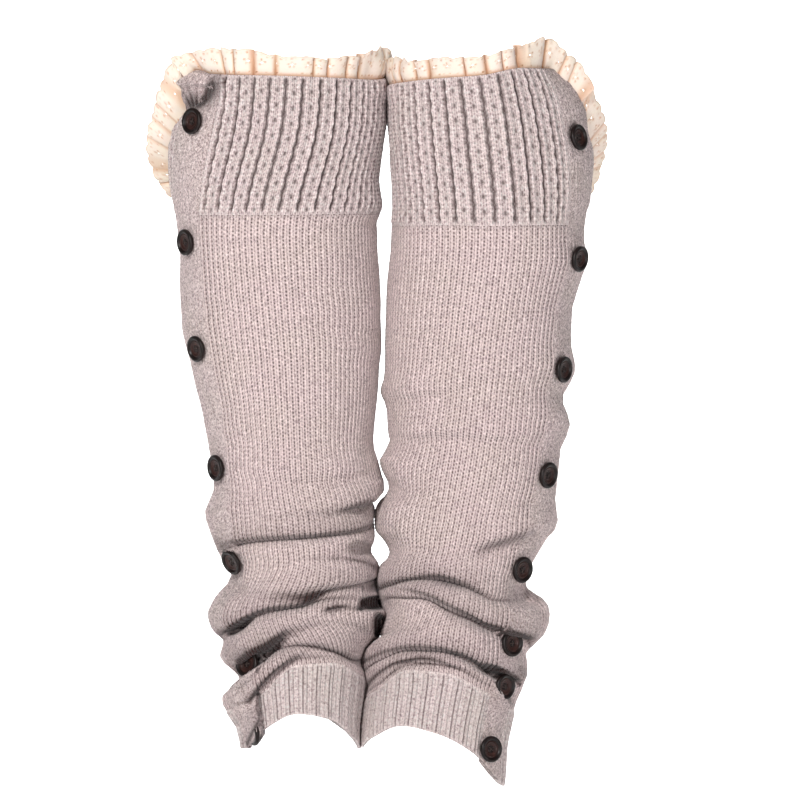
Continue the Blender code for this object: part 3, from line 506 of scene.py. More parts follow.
# Creases on the fronts: points (x, z) along the line, with the side
# that hangs over on the left hand, the strength at each point, then the dip,
# the lip beside it, how far the lip hangs over and the width.
CREASES = {
    "left": (
        (((-25.2, -216.9), (-19.8, -215.1), (-13.8, -213.0), (-6.6, -210.9)), (0.2, 0.8, 1, 0.8), 2.0, 1.0, 1.2, 1.8),
        (((-46.2, -265.5), (-44.4, -263.4), (-40.8, -262.1), (-34.8, -261.6), (-25.8, -261.0), (-18.6, -260.1), (-11.4, -258.9), (-5.4, -256.8)), (0.2, 0.9, 1, 0.9, 0.8, 0.9, 1, 1), 1.6, 0.8, 0.9, 1.5),
        (((-91.2, -287.1), (-85.8, -284.1), (-80.7, -281.4), (-75.6, -278.1), (-70.2, -276.6), (-63.9, -275.4), (-57.0, -274.5), (-50.1, -273.6), (-45.6, -272.1), (-40.8, -270.3), (-36.6, -267.3), (-34.2, -264.9)), (1.8, 1.9, 1.5, 1, 0.9, 0.9, 0.9, 1, 1.2, 1.3, 1.2, 0.2), 2.0, 0.9, 0.9, 1.6),
        (((-37.2, -276.6), (-32.4, -276.0), (-27.6, -275.2), (-22.8, -274.3), (-18.0, -275.2), (-13.2, -275.6)), (0, 1, 1.2, 0.7, 0.3, 0.8), 3.6, 0.6, 1.4, 1.5),
        (((-84.0, -307.8), (-79.8, -304.5), (-75.6, -301.8), (-69.6, -298.2), (-63.9, -294.0), (-59.4, -290.4), (-55.2, -286.8)), (1.6, 1.6, 1.4, 1.1, 0.9, 0.6, 0.1), 3.6, 1.0, 1.6, 2.4),
        (((-67.8, -301.5), (-64.2, -300.0), (-60.6, -298.8), (-54.6, -297.2), (-48.6, -296.3), (-40.8, -295.9), (-36.6, -296.7), (-31.8, -298.2), (-27.6, -300.0), (-23.4, -301.8), (-18.6, -303.8), (-13.8, -305.9)), (0.3, 0.8, 1, 1, 1, 1, 1, 1, 1, 1.1, 1.2, 1.2), 1.5, 0.6, 0.8, 1.3),
        (((-79.8, -331.2), (-75.6, -325.2), (-71.4, -320.4), (-67.8, -316.5), (-63.9, -312.6), (-58.2, -308.1), (-52.2, -304.5), (-47.4, -302.4), (-42.6, -300.9)), (0.8, 1, 1.1, 1.1, 1, 0.9, 0.7, 0.4, 0.1), 2.6, 1.2, 1.4, 1.5),
        (((-81.3, -357.6), (-79.2, -352.5), (-76.8, -347.7), (-73.8, -342.6), (-72.3, -336.6)), (1, 1, 1, 0.9, 0.1), 3.4, 0.8, 0.8, 1.3),
        (((-111.0, 25.2), (-108.6, 30.3), (-105.6, 36.0), (-102.6, 39.9), (-99.0, 43.2)), (1, 1.1, 1.0, 0.7, 0.2), 1.59, 1.2, 0.8, 2.4),
        (((-114.3, 24.6), (-117.3, 30.6), (-120.6, 36.0), (-123.0, 40.8)), (1, 0.9, 0.7, 0.2), 1.7, 0.7, 0.1, 0.8),
        (((-112.8, 25.2), (-114.6, 31.2), (-116.7, 37.2), (-118.2, 43.2)), (1, 0.9, 0.8, 0.2), 1.7, 0.7, 0.1, 0.8),
        (((-111.6, 25.5), (-111.3, 31.8), (-111.6, 37.8), (-111.6, 43.2)), (1, 0.9, 0.8, 0.2), 1.7, 0.7, 0.1, 0.8),
        (((-96.6, -238.2), (-91.8, -236.6), (-85.8, -235.0), (-78.6, -233.8), (-68.4, -232.8), (-55.8, -232.2), (-40.8, -231.7), (-27.6, -230.3), (-14.4, -228.5), (-5.4, -225.6)), (1, 1.1, 1, 0.8, 0.7, 0.8, 0.8, 0.9, 1, 1), 1.8, 0.8, 1.2, 1.4),
        (((-61.2, -78.6), (-49.8, -78.9), (-37.8, -78.3), (-25.8, -76.2), (-18.6, -73.8)), (0.2, 0.7, 0.9, 0.8, 0.2), 1.12, 0.75, 0, 2.8),
        (((-39.0, -103.2), (-28.8, -107.4), (-18.6, -109.5), (-10.2, -110.1), (-3.0, -110.1)), (0.1, 0.6, 1, 1, 1), 1.59, 1.35, 0.4, 2.4),
        (((-52.2, -55.8), (-40.8, -62.4), (-28.2, -67.2), (-18.6, -67.2)), (0, 0.5, 0.4, 0), 0.8, 0.75, 0, 3.0),
        (((-19.8, -40.8), (-13.8, -48.6), (-10.2, -55.8), (-6.6, -61.2)), (0, 0.4, 0.5, 0.2), 0.8, 1.05, 0, 3.0),
        (((-90.6, -197.4), (-72.6, -198.9), (-54.6, -200.1), (-36.6, -199.8), (-22.2, -198.0), (-11.4, -195.0)), (0.2, 0.6, 0.7, 0.8, 0.9, 0.8), 1.59, 1.05, 0.4, 2.4),
    ),
    "right": (
        (((-3.6, -263.7), (3.6, -260.1), (10.2, -258.6), (16.8, -257.6), (22.8, -256.6), (28.8, -256.2), (34.2, -256.4), (39.6, -257.5), (44.4, -258.9), (49.8, -260.7), (55.8, -263.6), (62.4, -266.7)), (0.8, 0.8, 0.8, 0.9, 1.1, 1.3, 1.3, 1.2, 1, 0.8, 0.5, 0.1), 1.8, 0.8, 1.0, 1.6),
        (((5.4, -262.8), (11.4, -263.3), (16.8, -264.5), (24.6, -266.5), (29.4, -268.6), (33.6, -270.7), (39.0, -273.4), (44.4, -276.1), (52.2, -280.4), (59.4, -285.1), (67.2, -287.6), (72.6, -289.0), (80.4, -291.3), (87.6, -292.8)), (0.2, 0.5, 0.8, 0.9, 1, 1, 1, 1.1, 1.3, 1.5, 1.7, 1.6, 1.5, 1.2), 1.8, 0.8, 1.1, 1.5),
        (((-13.2, -309.3), (-7.8, -306.0), (-3.0, -303.2), (1.5, -301.3), (11.4, -298.9), (18.0, -298.3), (24.6, -298.2), (36.0, -299.5), (42.0, -301.3), (47.4, -303.6), (55.2, -308.9), (62.7, -313.3), (70.2, -316.4), (79.8, -318.3)), (1.3, 1.1, 1, 0.9, 0.9, 0.9, 0.9, 1, 1.1, 1.3, 1.6, 1.9, 2, 1.8), 1.9, 0.8, 1.1, 1.5),
        (((-9.0, -322.8), (-7.5, -320.4), (-3.6, -315.8), (1.5, -311.9), (6.0, -309.2), (11.4, -307.3), (17.4, -306.0), (22.8, -305.4), (28.2, -305.7), (33.6, -306.7), (39.0, -308.8), (44.4, -311.1)), (1, 1, 1, 1, 1, 1, 1, 1, 0.9, 0.7, 0.4, 0.1), 2.6, 1.0, 1.4, 1.3),
        (((1.8, -151.5), (11.4, -150.6), (24.6, -149.1), (37.8, -147.0), (49.8, -144.0), (61.8, -141.0)), (0.6, 1, 1, 0.8, 0.5, 0.1), 1.59, 1.35, 0.3, 2.6),
        (((9.0, -178.2), (16.8, -174.9), (29.4, -172.8), (45.0, -172.2), (61.8, -173.7), (77.4, -175.8), (89.4, -177.0)), (0.2, 0.8, 1, 1, 0.9, 0.7, 0.3), 1.59, 1.35, 0.4, 2.4),
        (((1.8, -168.6), (12.6, -172.2), (28.2, -169.8), (52.2, -167.4), (76.2, -165.0), (90.6, -162.6)), (0.1, 0.3, 0.5, 0.6, 0.7, 0.6), 1.12, 0.9, 0, 2.6),
        (((0.6, -187.2), (7.8, -181.2), (15.0, -176.4)), (0.6, 0.8, 0.2), 1.59, 0.9, 0, 2.6),
        (((-5.4, -222.6), (1.8, -225.6), (7.8, -231.0), (12.6, -237.0)), (0.5, 0.8, 0.6, 0.1), 1.59, 1.05, 0, 3.0),
        (((52.2, -243.6), (60.6, -239.7), (70.2, -236.4), (81.0, -232.8), (90.6, -229.8)), (0.1, 0.7, 1, 0.9, 0.5), 1.9, 1.0, 0.5, 2.6),
        (((82.2, -183.0), (87.0, -178.2), (94.2, -172.8)), (0.1, 0.6, 0.6), 1.28, 0.9, 0, 2.4),
    ),
}

# Deep hollows on the fronts: middle (x, z), half width, half height, slope,
# depth and how much painted shade darkens the yarn inside it.
HOLLOWS = {
    "left": (
        (-4.5, -271.9, 9.3, 4.3, 0.0, 16, 1.0),
        (-1.2, -286.5, 4.6, 8.4, -0.42, 14, 1.0),
        (-5.4, -261.0, 7.2, 4.8, 0.35, 1.6, 0.75),
        (-13.2, -238.8, 7.8, 4.8, 0.0, 3.5, 0.3),
        (-113.4, 28.2, 10.2, 9.0, 0.0, 0.3, 0.62),
        (-104.4, 34.8, 4.8, 10.8, 1.1, 0.8, 1.0),
        (-99.6, 37.2, 6.6, 12.0, 0.8, 0.3, 0.72),
        (-108.0, 28.2, 4.2, 5.4, 0.9, 0.3, 0.9),
        (-85.8, -284.7, 7.8, 3.7, 0.62, 7, 0.95),
        (-75.0, -305.4, 9.6, 3.9, 0.62, 7, 0.9),
        (-64.8, -297.6, 6.0, 3.0, 0.7, 3.5, 0.45),
        (-74.4, -331.8, 2.0, 8.4, 0.0, 3.0, 0.6),
    ),
    "right": (
        (68.4, -312.9, 10.8, 3.7, -0.34, 7, 0.95),
        (77.4, -290.4, 8.4, 2.4, -0.1, 4.5, 0.7),
        (39.0, -259.8, 10.8, 2.4, -0.2, 2.0, 0.45),
    ),
}


def smooth_curve(xs, ys, period=None):
    """A curve through the points that never swings past them."""
    xs = np.asarray(xs, float)
    ys = np.asarray(ys, float)
    if xs[0] > xs[-1]:
        xs, ys = xs[::-1], ys[::-1]
    if period:
        xs = np.concatenate([xs[-2:] - period, xs, xs[:2] + period])
        ys = np.concatenate([ys[-2:], ys, ys[:2]])
    step = np.diff(xs)
    rise = np.diff(ys) / step
    slope = np.zeros_like(ys)
    same = rise[1:] * rise[:-1] > 0
    first, second = 2 * step[1:] + step[:-1], step[1:] + 2 * step[:-1]
    with np.errstate(divide="ignore", invalid="ignore"):
        mean = (first + second) / (first / rise[:-1] + second / rise[1:])
    slope[1:-1] = np.where(same, mean, 0.0)
    slope[0], slope[-1] = rise[0], rise[-1]

    def at(x):
        x = np.asarray(x, float)
        if period:
            x = (x - xs[2]) % period + xs[2]
        i = np.clip(np.searchsorted(xs, x) - 1, 0, len(step) - 1)
        t = np.clip((x - xs[i]) / step[i], 0.0, 1.0)
        return (
            ys[i] * (1 + 2 * t) * (1 - t) ** 2
            + slope[i] * step[i] * t * (1 - t) ** 2
            + ys[i + 1] * t * t * (3 - 2 * t)
            + slope[i + 1] * step[i] * t * t * (t - 1)
        )

    return at


def bell(t):
    return np.exp(-0.5 * t * t)


def dent(below, width):
    """A crease's section: steep above, where the lip hangs, and slow below."""
    return bell(below / np.where(below < 0, 0.7 * width, 1.5 * width))


def ease(t):
    t = np.clip(t, 0.0, 1.0)
    return t * t * (3 - 2 * t)


class Cuff:
    """One cuff's cloth as a surface over (angle, height)."""

    SMOOTHING = 26.0

    def __init__(self, side):
        self.side = side
        self.turn = 1.0 if side == "left" else -1.0
        rows = np.array(OUTLINE[side])
        self.heights = np.arange(-400.0, 80.1, 0.5)
        kernel = bell(np.arange(-80, 80.1, 0.5) / self.SMOOTHING)
        kernel /= kernel.sum()
        self.edges, self.bulges = [], []
        for column in (1, 2):
            line = smooth_curve(rows[:, 0], rows[:, column])(self.heights)
            half = len(kernel) // 2
            padded = np.pad(line, half, mode="edge")
            calm = np.convolve(padded, kernel, mode="valid")
            self.edges.append(calm)
            self.bulges.append((line - calm) * (-1 if column == 1 else 1))
        table = np.array(SIDE)
        self.front = smooth_curve(table[:, 0], table[:, 1])
        self.back = smooth_curve(table[:, 0], table[:, 2])
        self.rings = RINGS[side]
        self.names = [ring[0] for ring in self.rings]
        self.ring_height = [smooth_curve(STATIONS, r[1], 360) for r in self.rings]
        self.ring_strength = [smooth_curve(STATIONS, r[2], 360) for r in self.rings]
        line = np.array(PLACKET_LINE[side], float)
        self.placket = smooth_curve(line[:, 0], line[:, 1])

    def angle(self, around, height):
        """The angle of a point `around` degrees from the placket's centre
        line, counted over the front."""
        return self.placket(height) + self.turn * around

    def ring(self, name, angle):
        return self.ring_height[self.names.index(name)](angle)

    def side_height(self, angle, height, side_angle):
        """The height at which the same fold meets the outline at a side."""
        band = self.names.index("band")
        here = np.array([h(angle) + 0 * height for h in self.ring_height[band:]])
        there = np.array([h(side_angle) for h in self.ring_height[band:]])
        found = height + 0.0
        for k in range(len(there) - 1):
            inside = (height <= here[k]) & (height > here[k + 1])
            share = (here[k] - height) / np.maximum(here[k] - here[k + 1], 1e-3)
            found = np.where(inside, there[k] + share * (there[k + 1] - there[k]), found)
        return np.where(height <= here[-1], there[-1] + height - here[-1], found)

    def base(self, angle, height):
        """A point of the cloth's outer face, before it is lifted or lowered."""
        angle, height = np.broadcast_arrays(
            np.asarray(angle, float), np.asarray(height, float)
        )
        out = np.zeros(height.shape)
        drop = np.zeros(height.shape)
        sides = []
        for side_angle in (-90.0, 90.0):
            apart = np.abs((angle - side_angle + 180.0) % 360.0 - 180.0)
            sides.append(
                np.cos(np.clip((apart - 15.0) / 62.0, 0, 1) * math.pi / 2) ** 2
            )
        beside = sides[0] + sides[1]
        for ring, ring_at, strength_at in zip(
            self.rings, self.ring_height, self.ring_strength
        ):
            _, _, _, lip, dip, over, width = ring
            if not dip:
                continue
            strength = strength_at(angle)
            width = width * CREASE_WIDTH
            hang = strength * over * OVERHANG
            below = ring_at(angle) + 0.6 * hang - height
            out = out + strength * (
                (1 - beside)
                * lip
                * (1.15 * bell((below + 6.5) / 4.8) + 0.45 * bell((below - 9.0) / 5.5))
                - (1 - 0.5 * beside) * 1.15 * dip * dent(below, width)
            )
            drop = drop + hang * bell((below + width) / (1.15 * width))
        for side_angle, bulge, weight in zip((-90.0, 90.0), self.bulges, sides):
            level = self.side_height(angle, height, side_angle)
            out = out + weight * np.interp(level, self.heights, bulge)
        left = np.interp(height, self.heights, self.edges[0])
        right = np.interp(height, self.heights, self.edges[1])
        front, back = self.front(height), self.back(height)
        a, b = (right - left) / 2, (back - front) / 2
        turn = np.radians(angle)
        x = (left + right) / 2 + (a + out) * np.sin(turn)
        y = (front + back) / 2 - (b + out) * np.cos(turn)
        z = height - drop
        if self.side == "left":
            x = x - 5.4 * ease((z - 24.5) / 5.0) * ease((-104.0 - x) / 13.0)
            x = x + 1.1 * ease((z - 28.0) / 7.0) * ease((x + 8.0) / 6.0)
        else:
            x = x - 1.1 * ease((z - 28.0) / 7.0) * ease((12.0 - x) / 6.0)
        push, dx, dz, _ = self.marks(x, z, np.cos(turn))
        y = y + push * (0.35 + 0.65 * np.clip(np.cos(turn), 0, 1))
        x = x - push * 0.35 * np.sin(turn) * np.clip(np.cos(turn) * 3, 0, 1)
        return np.stack([x + dx, y, z + dz], axis=-1)

    def marks(self, x, z, facing):
        """The creases: push away from the viewer, shift of the
        lips and how much painted shade each point gets."""
        front = ease(facing / 0.22)
        push, dx, dz = np.zeros(x.shape), np.zeros(x.shape), np.zeros(x.shape)
        deep = np.zeros(x.shape)
        if not front.any():
            return push, dx, dz, deep
        for line, strengths, dip, lip, over, width in CREASES[self.side]:
            line = np.array(line)
            reach = 14.0
            low, high = line.min(axis=0) - reach, line.max(axis=0) + reach
            near = (
                (x > low[0]) & (x < high[0]) & (z > low[1]) & (z < high[1]) & (front > 0)
            )
            if not near.any():
                continue
            px, pz = x[near], z[near]
            best = np.full(px.shape, 1e9)
            offset, strength = np.zeros(px.shape), np.zeros(px.shape)
            nx, nz = np.zeros(px.shape), np.zeros(px.shape)
            for k in range(len(line) - 1):
                (ax, az), (bx, bz) = line[k], line[k + 1]
                ex, ez = bx - ax, bz - az
                long = math.hypot(ex, ez)
                t = ((px - ax) * ex + (pz - az) * ez) / long**2
                c = np.clip(t, 0, 1)
                d = np.hypot(px - ax - c * ex, pz - az - c * ez)
                closer = d < best
                best = np.where(closer, d, best)
                side = (ex * (pz - az) - ez * (px - ax)) / long
                offset = np.where(closer, np.where(side < 0, -d, d), offset)
                here = strengths[k] + c * (strengths[k + 1] - strengths[k])
                beyond = np.maximum(t - 1, 0) * long if k == len(line) - 2 else 0.0
                before = np.maximum(-t, 0) * long if k == 0 else 0.0
                here = here * bell((beyond + before) / (1.5 * width))
                strength = np.where(closer, here, strength)
                nx = np.where(closer, -ez / long, nx)
                nz = np.where(closer, ex / long, nz)
            hang = over * strength
            at = -(offset - 0.6 * hang)
            f = front[near] * strength
            push[near] += f * (dip * dent(at, width) - lip * bell((at + 3.2) / 2.6))
            shift = front[near] * hang * bell((at + width) / (1.15 * width))
            dx[near] -= shift * nx
            dz[near] -= shift * nz
            # Painted shade: a crease dipping deeper than 1.6 gets a dark line along its bottom and a softer shade under
            # its lip.
            if dip > 1.6:
                much = f * min(dip / 3.6, 1.0)
                deep[near] += much * bell((at + 0.1 * width) / (0.62 * width))
                deep[near] += 0.18 * much * bell((at + 2.6) / 2.4)
        for mx, mz, wide, tall, slope, depth, dark in HOLLOWS[self.side]:
            u = (x - mx) / wide
            w = (z - mz - slope * (x - mx)) / tall
            inside = 1 - ease((np.hypot(u, w) - 0.62) / 0.62)
            push += ease(facing / 0.12) * depth * inside
            # Painted shade inside each of the hollows, as dark as the table's last column says.
            sharp = 0.75 if depth > 2.5 else 0.0
            deep += ease(facing / 0.12) * dark * (1 - ease((np.hypot(u, w) - sharp) / (1.15 - sharp)))
        return push, dx, dz, deep

    def normal(self, angle, height):
        across = self.base(angle + 0.5, height) - self.base(angle - 0.5, height)
        up = self.base(angle, height + 0.5) - self.base(angle, height - 0.5)
        n = np.cross(across, up)
        return n / np.linalg.norm(n, axis=-1, keepdims=True)

    def painted_shade_at(self, angle, height):
        """Painted shade at a point, from 0 to 1: dark along the bottom of each fold and crease and inside the listed
        hollows, softer under a fold's lip, and on the left cuff's inner side, where it faces the right cuff.
        """
        deep = np.zeros(np.broadcast(angle, height).shape)
        for ring, ring_at, strength_at in zip(
            self.rings, self.ring_height, self.ring_strength
        ):
            _, _, _, _, dip, over, width = ring
            if over < 2:
                continue
            hang = strength_at(angle) * over * OVERHANG
            below = ring_at(angle) + 0.6 * hang - height
            much = strength_at(angle) * min(dip / 5.0, 1.0)
            # Painted shade along the bottom of each fold, and a softer shade under its lip.
            deep = deep + 0.95 * much * bell((below + 0.1 * width) / (0.5 * width))
            deep = deep + 0.18 * much * bell((below + 3.5) / 3.4) * (below < 2.0)
        place = self.base(angle, height)
        facing = np.cos(np.radians(angle))
        deep = deep + self.marks(place[..., 0], place[..., 2], facing)[3]
        # Painted shade on the left cuff's inner side, where it faces the right cuff.
        if self.side == "left":
            inner = ease((angle - 66.0) / 26.0) * (1 - ease((angle - 96.0) / 34.0))
            deep = deep + inner * (0.16 + 0.3 * ease((height + 60.0) / 40.0))
        return deep

    def point(self, angle, height, lift=0.0):
        lift = np.asarray(lift, float)[..., None]
        return self.base(angle, height) + self.normal(angle, height) * lift


def settle(cuff, row, around):
    """Angle and height of a row's points, as the placket's line slants."""
    upper, lower, share = row
    angle = cuff.angle(around, -150.0)
    for _ in range(12):
        high, low = cuff.ring(upper, angle), cuff.ring(lower, angle)
        height = high + share * (low - high)
        angle = cuff.angle(around, height)
    return angle, height


def layer_level(around):
    """How far the cloth sinks where its back edge goes under the placket."""
    under = -(PLACKET_THICK + GAP)
    return under * ease((np.asarray(around, float) - 328.0) / 14.0)




# ---------------------------------------------------------------- cloth data

WALE = 3.66  # degrees from one column of knit stitches to the next
COURSE = 2.3  # millimetres from one knitted row to the next
CABLE = 7.8  # height of one turn of the band's mock cable
HEM_RIB = 8.75  # millimetres from one pair of hem ribs to the next

# Where the band's grooves run, in degrees from the placket's centre line.
GROOVES = {
    "left": (20.0, 29.2, 38.2, 47.2, 56.4, 66.0, 76.6, 86.8, 96.4, 106.0, 116.5, 128.0),
    "right": (16.4, 25.6, 35.4, 44.8, 54.4, 66.6, 79.2, 90.4, 101.2, 112.6, 123.6, 135.6),
}

# Folds that hang over a button: lines (x1, z1, x2, z2) with the cloth on
# their left hand in front of the button.
COVERS = {
    "left_button_5": ((-99.0, -240.6, -84.0, -241.8),),
    "left_button_6": ((-87.0, -310.8, -77.4, -303.0), (-68.4, -303.6, -85.8, -315.6)),
    "left_button_7": ((-78.0, -357.6, -72.0, -340.2),),
    "right_button_6": ((68.4, -290.1, 89.4, -294.3),),
    "right_button_7": ((54.0, -306.6, 81.6, -318.0), (75.6, -329.4, 59.4, -310.8)),
}

# Small wrinkles: angle, height, half width in degrees, half height, tilt (rise
# in mm per degree), depth. Negative depth is a ridge.
WRINKLES = {
    "left": (
        (-38, -96, 16, 3.5, 0.10, 0.5),
        (22, -88, 20, 4.0, 0.30, 0.9),
        (48, -128, 26, 4.5, -0.05, 0.8),
        (-20, -150, 30, 6.0, 0.05, 0.5),
        (30, -172, 30, 5.0, 0.00, 0.5),
        (-50, -176, 18, 4.0, -0.05, 0.5),
        (62, -214, 14, 2.6, 0.15, 1.4),
        (-44, -207, 16, 3.0, 0.20, 0.8),
        (10, -258, 12, 2.4, -0.35, 1.0),
        (-28, -272, 14, 2.6, 0.45, 1.2),
        (34, -276, 16, 2.6, 0.10, 0.9),
        (-52, -262, 14, 3.0, 0.30, 0.7),
        (-10, -330, 20, 5.0, 0.10, 0.4),
        (150, -100, 40, 5.0, 0.05, 0.8),
        (205, -150, 40, 5.0, -0.05, 0.7),
        (170, -250, 40, 3.5, 0.08, 1.2),
        (-130, -128, 30, 5.0, 0.05, 0.6),
        (110, -60, 30, 6.0, 0.04, 0.5),
    ),
    "right": (
        (-40, -108, 22, 4.5, 0.05, 0.5),
        (20, -118, 30, 5.0, -0.05, 0.4),
        (-60, -146, 20, 3.4, 0.12, 0.9),
        (-18, -186, 26, 4.0, -0.10, 0.8),
        (44, -164, 26, 5.0, -0.10, 0.6),
        (-62, -206, 18, 3.0, 0.05, 0.8),
        (14, -224, 26, 4.0, -0.08, 0.8),
        (56, -214, 20, 3.5, -0.20, 0.9),
        (-30, -240, 20, 3.5, 0.15, 0.7),
        (52, -262, 16, 3.0, -0.30, 1.2),
        (-40, -282, 20, 3.0, 0.15, 0.9),
        (20, -276, 18, 2.6, -0.20, 1.0),
        (-20, -304, 24, 2.6, 0.10, 0.8),
        (30, -345, 20, 5.0, -0.10, 0.4),
        (-150, -100, 40, 5.0, 0.05, 0.7),
        (-200, -150, 40, 5.0, -0.05, 0.7),
        (-170, -240, 40, 3.5, 0.08, 1.1),
        (130, -128, 30, 5.0, 0.05, 0.6),
    ),
}


def wrinkles(side, angle, height):
    """Lift of the small wrinkles, and a slow unevenness over all of the cloth."""
    lift = np.zeros(np.broadcast(angle, height).shape)
    for at, level, wide, tall, tilt, depth in WRINKLES[side]:
        apart = (angle - at + 180.0) % 360.0 - 180.0
        off = height - level - tilt * apart
        fade = bell(apart / wide)
        lift = lift - depth * fade * bell(off / tall)
        lift = lift + 0.55 * depth * fade * bell((off - 2.3 * tall) / (1.3 * tall))
    a = np.radians(angle)
    lift = lift + 0.22 * np.sin(3 * a + height / 31.0) * np.sin(height / 17.0 + 2 * a)
    lift = lift + 0.14 * np.sin(7 * a - height / 13.0 + 1.3) * np.sin(height / 9.0 - 3 * a)
    return lift


def step(low, high, x):
    return ease((x - low) / (high - low))


def stitch_relief(u, v, near_strip):
    """Plain knit: wales with a groove between them and a pit at each row."""
    s = np.abs(u % 1.0 - 0.5) * 2.0
    groove = bell((1.0 - s) / 0.34)
    pit = groove * (0.5 + 0.5 * np.cos(2 * math.pi * v))
    leg = bell((s - 0.5) / 0.3)
    chevron = 0.5 + 0.5 * np.cos(2 * math.pi * (v - 0.5 * s))
    relief = -0.45 * groove * (1 + 0.5 * near_strip) - 0.7 * pit
    relief = relief + 0.2 * leg + 0.2 * chevron * (1 - groove)
    # The second value is painted shade in the grooves and pits, stronger near the placket.
    return relief, (0.1 * groove + 0.22 * pit) * (1 + 1.0 * near_strip)


def cable_relief(r, v, fade):
    """Mock cable rib: a wavy groove on each side and a row of eyelets."""
    turn = 2 * math.pi * (v + 1.0 * np.sin(2.1 * np.floor(r))) / CABLE
    beat = np.cos(turn)
    f = r % 1.0
    wave = 0.018 * np.sin(turn)
    side = np.minimum(np.abs(f - wave), np.abs(1.0 - f + wave))
    groove = bell(side / (0.068 - 0.02 * beat))
    ridge = bell((side - 0.205 + 0.04 * beat) / 0.075)
    hole = bell((f - 0.5) / 0.055) * step(0.35, 0.95, beat)
    chain = 0.5 + 0.5 * np.cos(2 * math.pi * (v / COURSE - 1.6 * side))
    relief = -2.6 * groove + 0.55 * ridge - 1.0 * hole
    relief = relief - 0.3 * bell((f - 0.5) / 0.11) + 0.34 * chain * ridge - 0.3 * chain * groove
    # Painted shade in the grooves, the eyelets and down each rib's middle, a little over the whole band, and painted
    # light and shade in turn along the ridges' stitches.
    deep = 1.05 * groove * (0.75 + 0.25 * chain) + 0.6 * hole + 0.22 * bell((f - 0.5) / 0.14)
    deep = deep + 0.06 + 0.2 * ridge * (1 - chain) - 0.3 * ridge * chain
    return relief * fade, deep * fade


def hem_relief(g, v):
    """Pairs of narrow ribs with a flat valley between the pairs."""
    f = g % 1.0
    ribs = np.minimum(bell((f - 0.36) / 0.075) + bell((f - 0.64) / 0.075), 1.0)
    valley = bell(np.minimum(f, 1 - f) / 0.2)
    row = 0.5 + 0.5 * np.cos(2 * math.pi * v / 2.0)
    beside = 0.55 * bell((f - 0.23) / 0.05) + 0.55 * bell((f - 0.77) / 0.05) + bell((f - 0.5) / 0.055)
    relief = 0.95 * ribs - 0.4 * valley - 0.7 * beside + 0.10 * row * ribs
    # The second value is painted shade beside the ribs and in the valleys.
    return relief, 0.8 * beside + (0.12 + 0.12 * row) * (1 - ribs) * (1 - beside)


def even_rows(cuff, around, upper, lower, rows, trim=(0.0, 0.0)):
    """Angles and heights of rows that divide each column evenly along the
    cloth, and the length of each column."""
    around = np.asarray(around, float)
    high = settle(cuff, upper, around)[1] - trim[0]
    low = settle(cuff, lower, around)[1] + trim[1]
    share = np.linspace(0.0, 1.0, 900)[:, None]
    height = high + share * (low - high)
    face = cuff.base(cuff.angle(around, height), height)
    paces = np.linalg.norm(np.diff(face, axis=0), axis=-1)
    run = np.concatenate([np.zeros((1, len(around))), np.cumsum(paces, axis=0)])
    total = run[-1]
    # Neighbouring columns keep step, so the rows don't jump at a fold.
    wanted = np.linspace(0.0, 1.0, rows + 1)
    found = np.empty((rows + 1, len(around)))
    for j in range(len(around)):
        found[:, j] = np.interp(wanted * total[j], run[:, j], height[:, j])
    return cuff.angle(around, found), found, total


def shell(outer, inner, skip_rows=4, skip_columns=4):
    """A closed thin shell: a fine outer face, a coarser inner one and rims.
    Returns points, faces and how many faces at the end are rims."""
    rows, columns = outer.shape[:2]
    kr = list(range(0, rows - 1, skip_rows)) + [rows - 1]
    kc = list(range(0, columns - 1, skip_columns)) + [columns - 1]
    inside = inner[np.ix_(kr, kc)]
    points = np.concatenate([outer.reshape(-1, 3), inside.reshape(-1, 3)])
    start = rows * columns
    index = np.arange(start).reshape(rows, columns)
    quads = np.stack(
        [index[:-1, :-1], index[1:, :-1], index[1:, 1:], index[:-1, 1:]], axis=-1
    ).reshape(-1, 4)
    deep = start + np.arange(inside.shape[0] * inside.shape[1]).reshape(inside.shape[:2])
    back = np.stack(
        [deep[:-1, :-1], deep[:-1, 1:], deep[1:, 1:], deep[1:, :-1]], axis=-1
    ).reshape(-1, 4)
    faces = quads.tolist() + back.tolist()
    rims = []
    for i, k in ((0, 0), (rows - 1, len(kr) - 1)):
        for m in range(len(kc) - 1):
            edge = index[i, kc[m] : kc[m + 1] + 1].tolist() + [int(deep[k, m + 1]), int(deep[k, m])]
            rims.append(edge if i == 0 else edge[::-1])
    for j, k in ((0, 0), (columns - 1, len(kc) - 1)):
        for m in range(len(kr) - 1):
            edge = index[kr[m] : kr[m + 1] + 1, j].tolist() + [int(deep[m + 1, k]), int(deep[m, k])]
            rims.append(edge[::-1] if j == 0 else edge)
    keep = (kr, kc)
    return points, faces + rims, len(rims), keep


def add_mesh(name, points, faces, material, uv=None, flat_last=0, turned=False, painted_shade=None):
    """A smooth mesh, in metres, from points in millimetres."""
    mesh = bpy.data.meshes.new(name)
    if turned:
        faces = [face[::-1] for face in faces]
    mesh.from_pydata((np.asarray(points) * MM).tolist(), [], faces)
    smooth = np.ones(len(mesh.polygons), bool)
    if flat_last:
        smooth[-flat_last:] = False
    mesh.polygons.foreach_set("use_smooth", smooth)
    if uv is not None:
        layer = mesh.uv_layers.new(name="knit")
        corner = np.empty(len(mesh.loops), np.int64)
        mesh.loops.foreach_get("vertex_index", corner)
        layer.data.foreach_set("uv", np.asarray(uv, np.float32)[corner].reshape(-1))
    # Painted shade, kept as a point attribute that the materials darken by.
    if painted_shade is not None:
        layer = mesh.attributes.new("painted_shade", "FLOAT", "POINT")
        layer.data.foreach_set("value", np.asarray(painted_shade, np.float32))
    mesh.materials.append(material)
    mesh.update()
    made = bpy.data.objects.new(name, mesh)
    bpy.context.collection.objects.link(made)
    return made


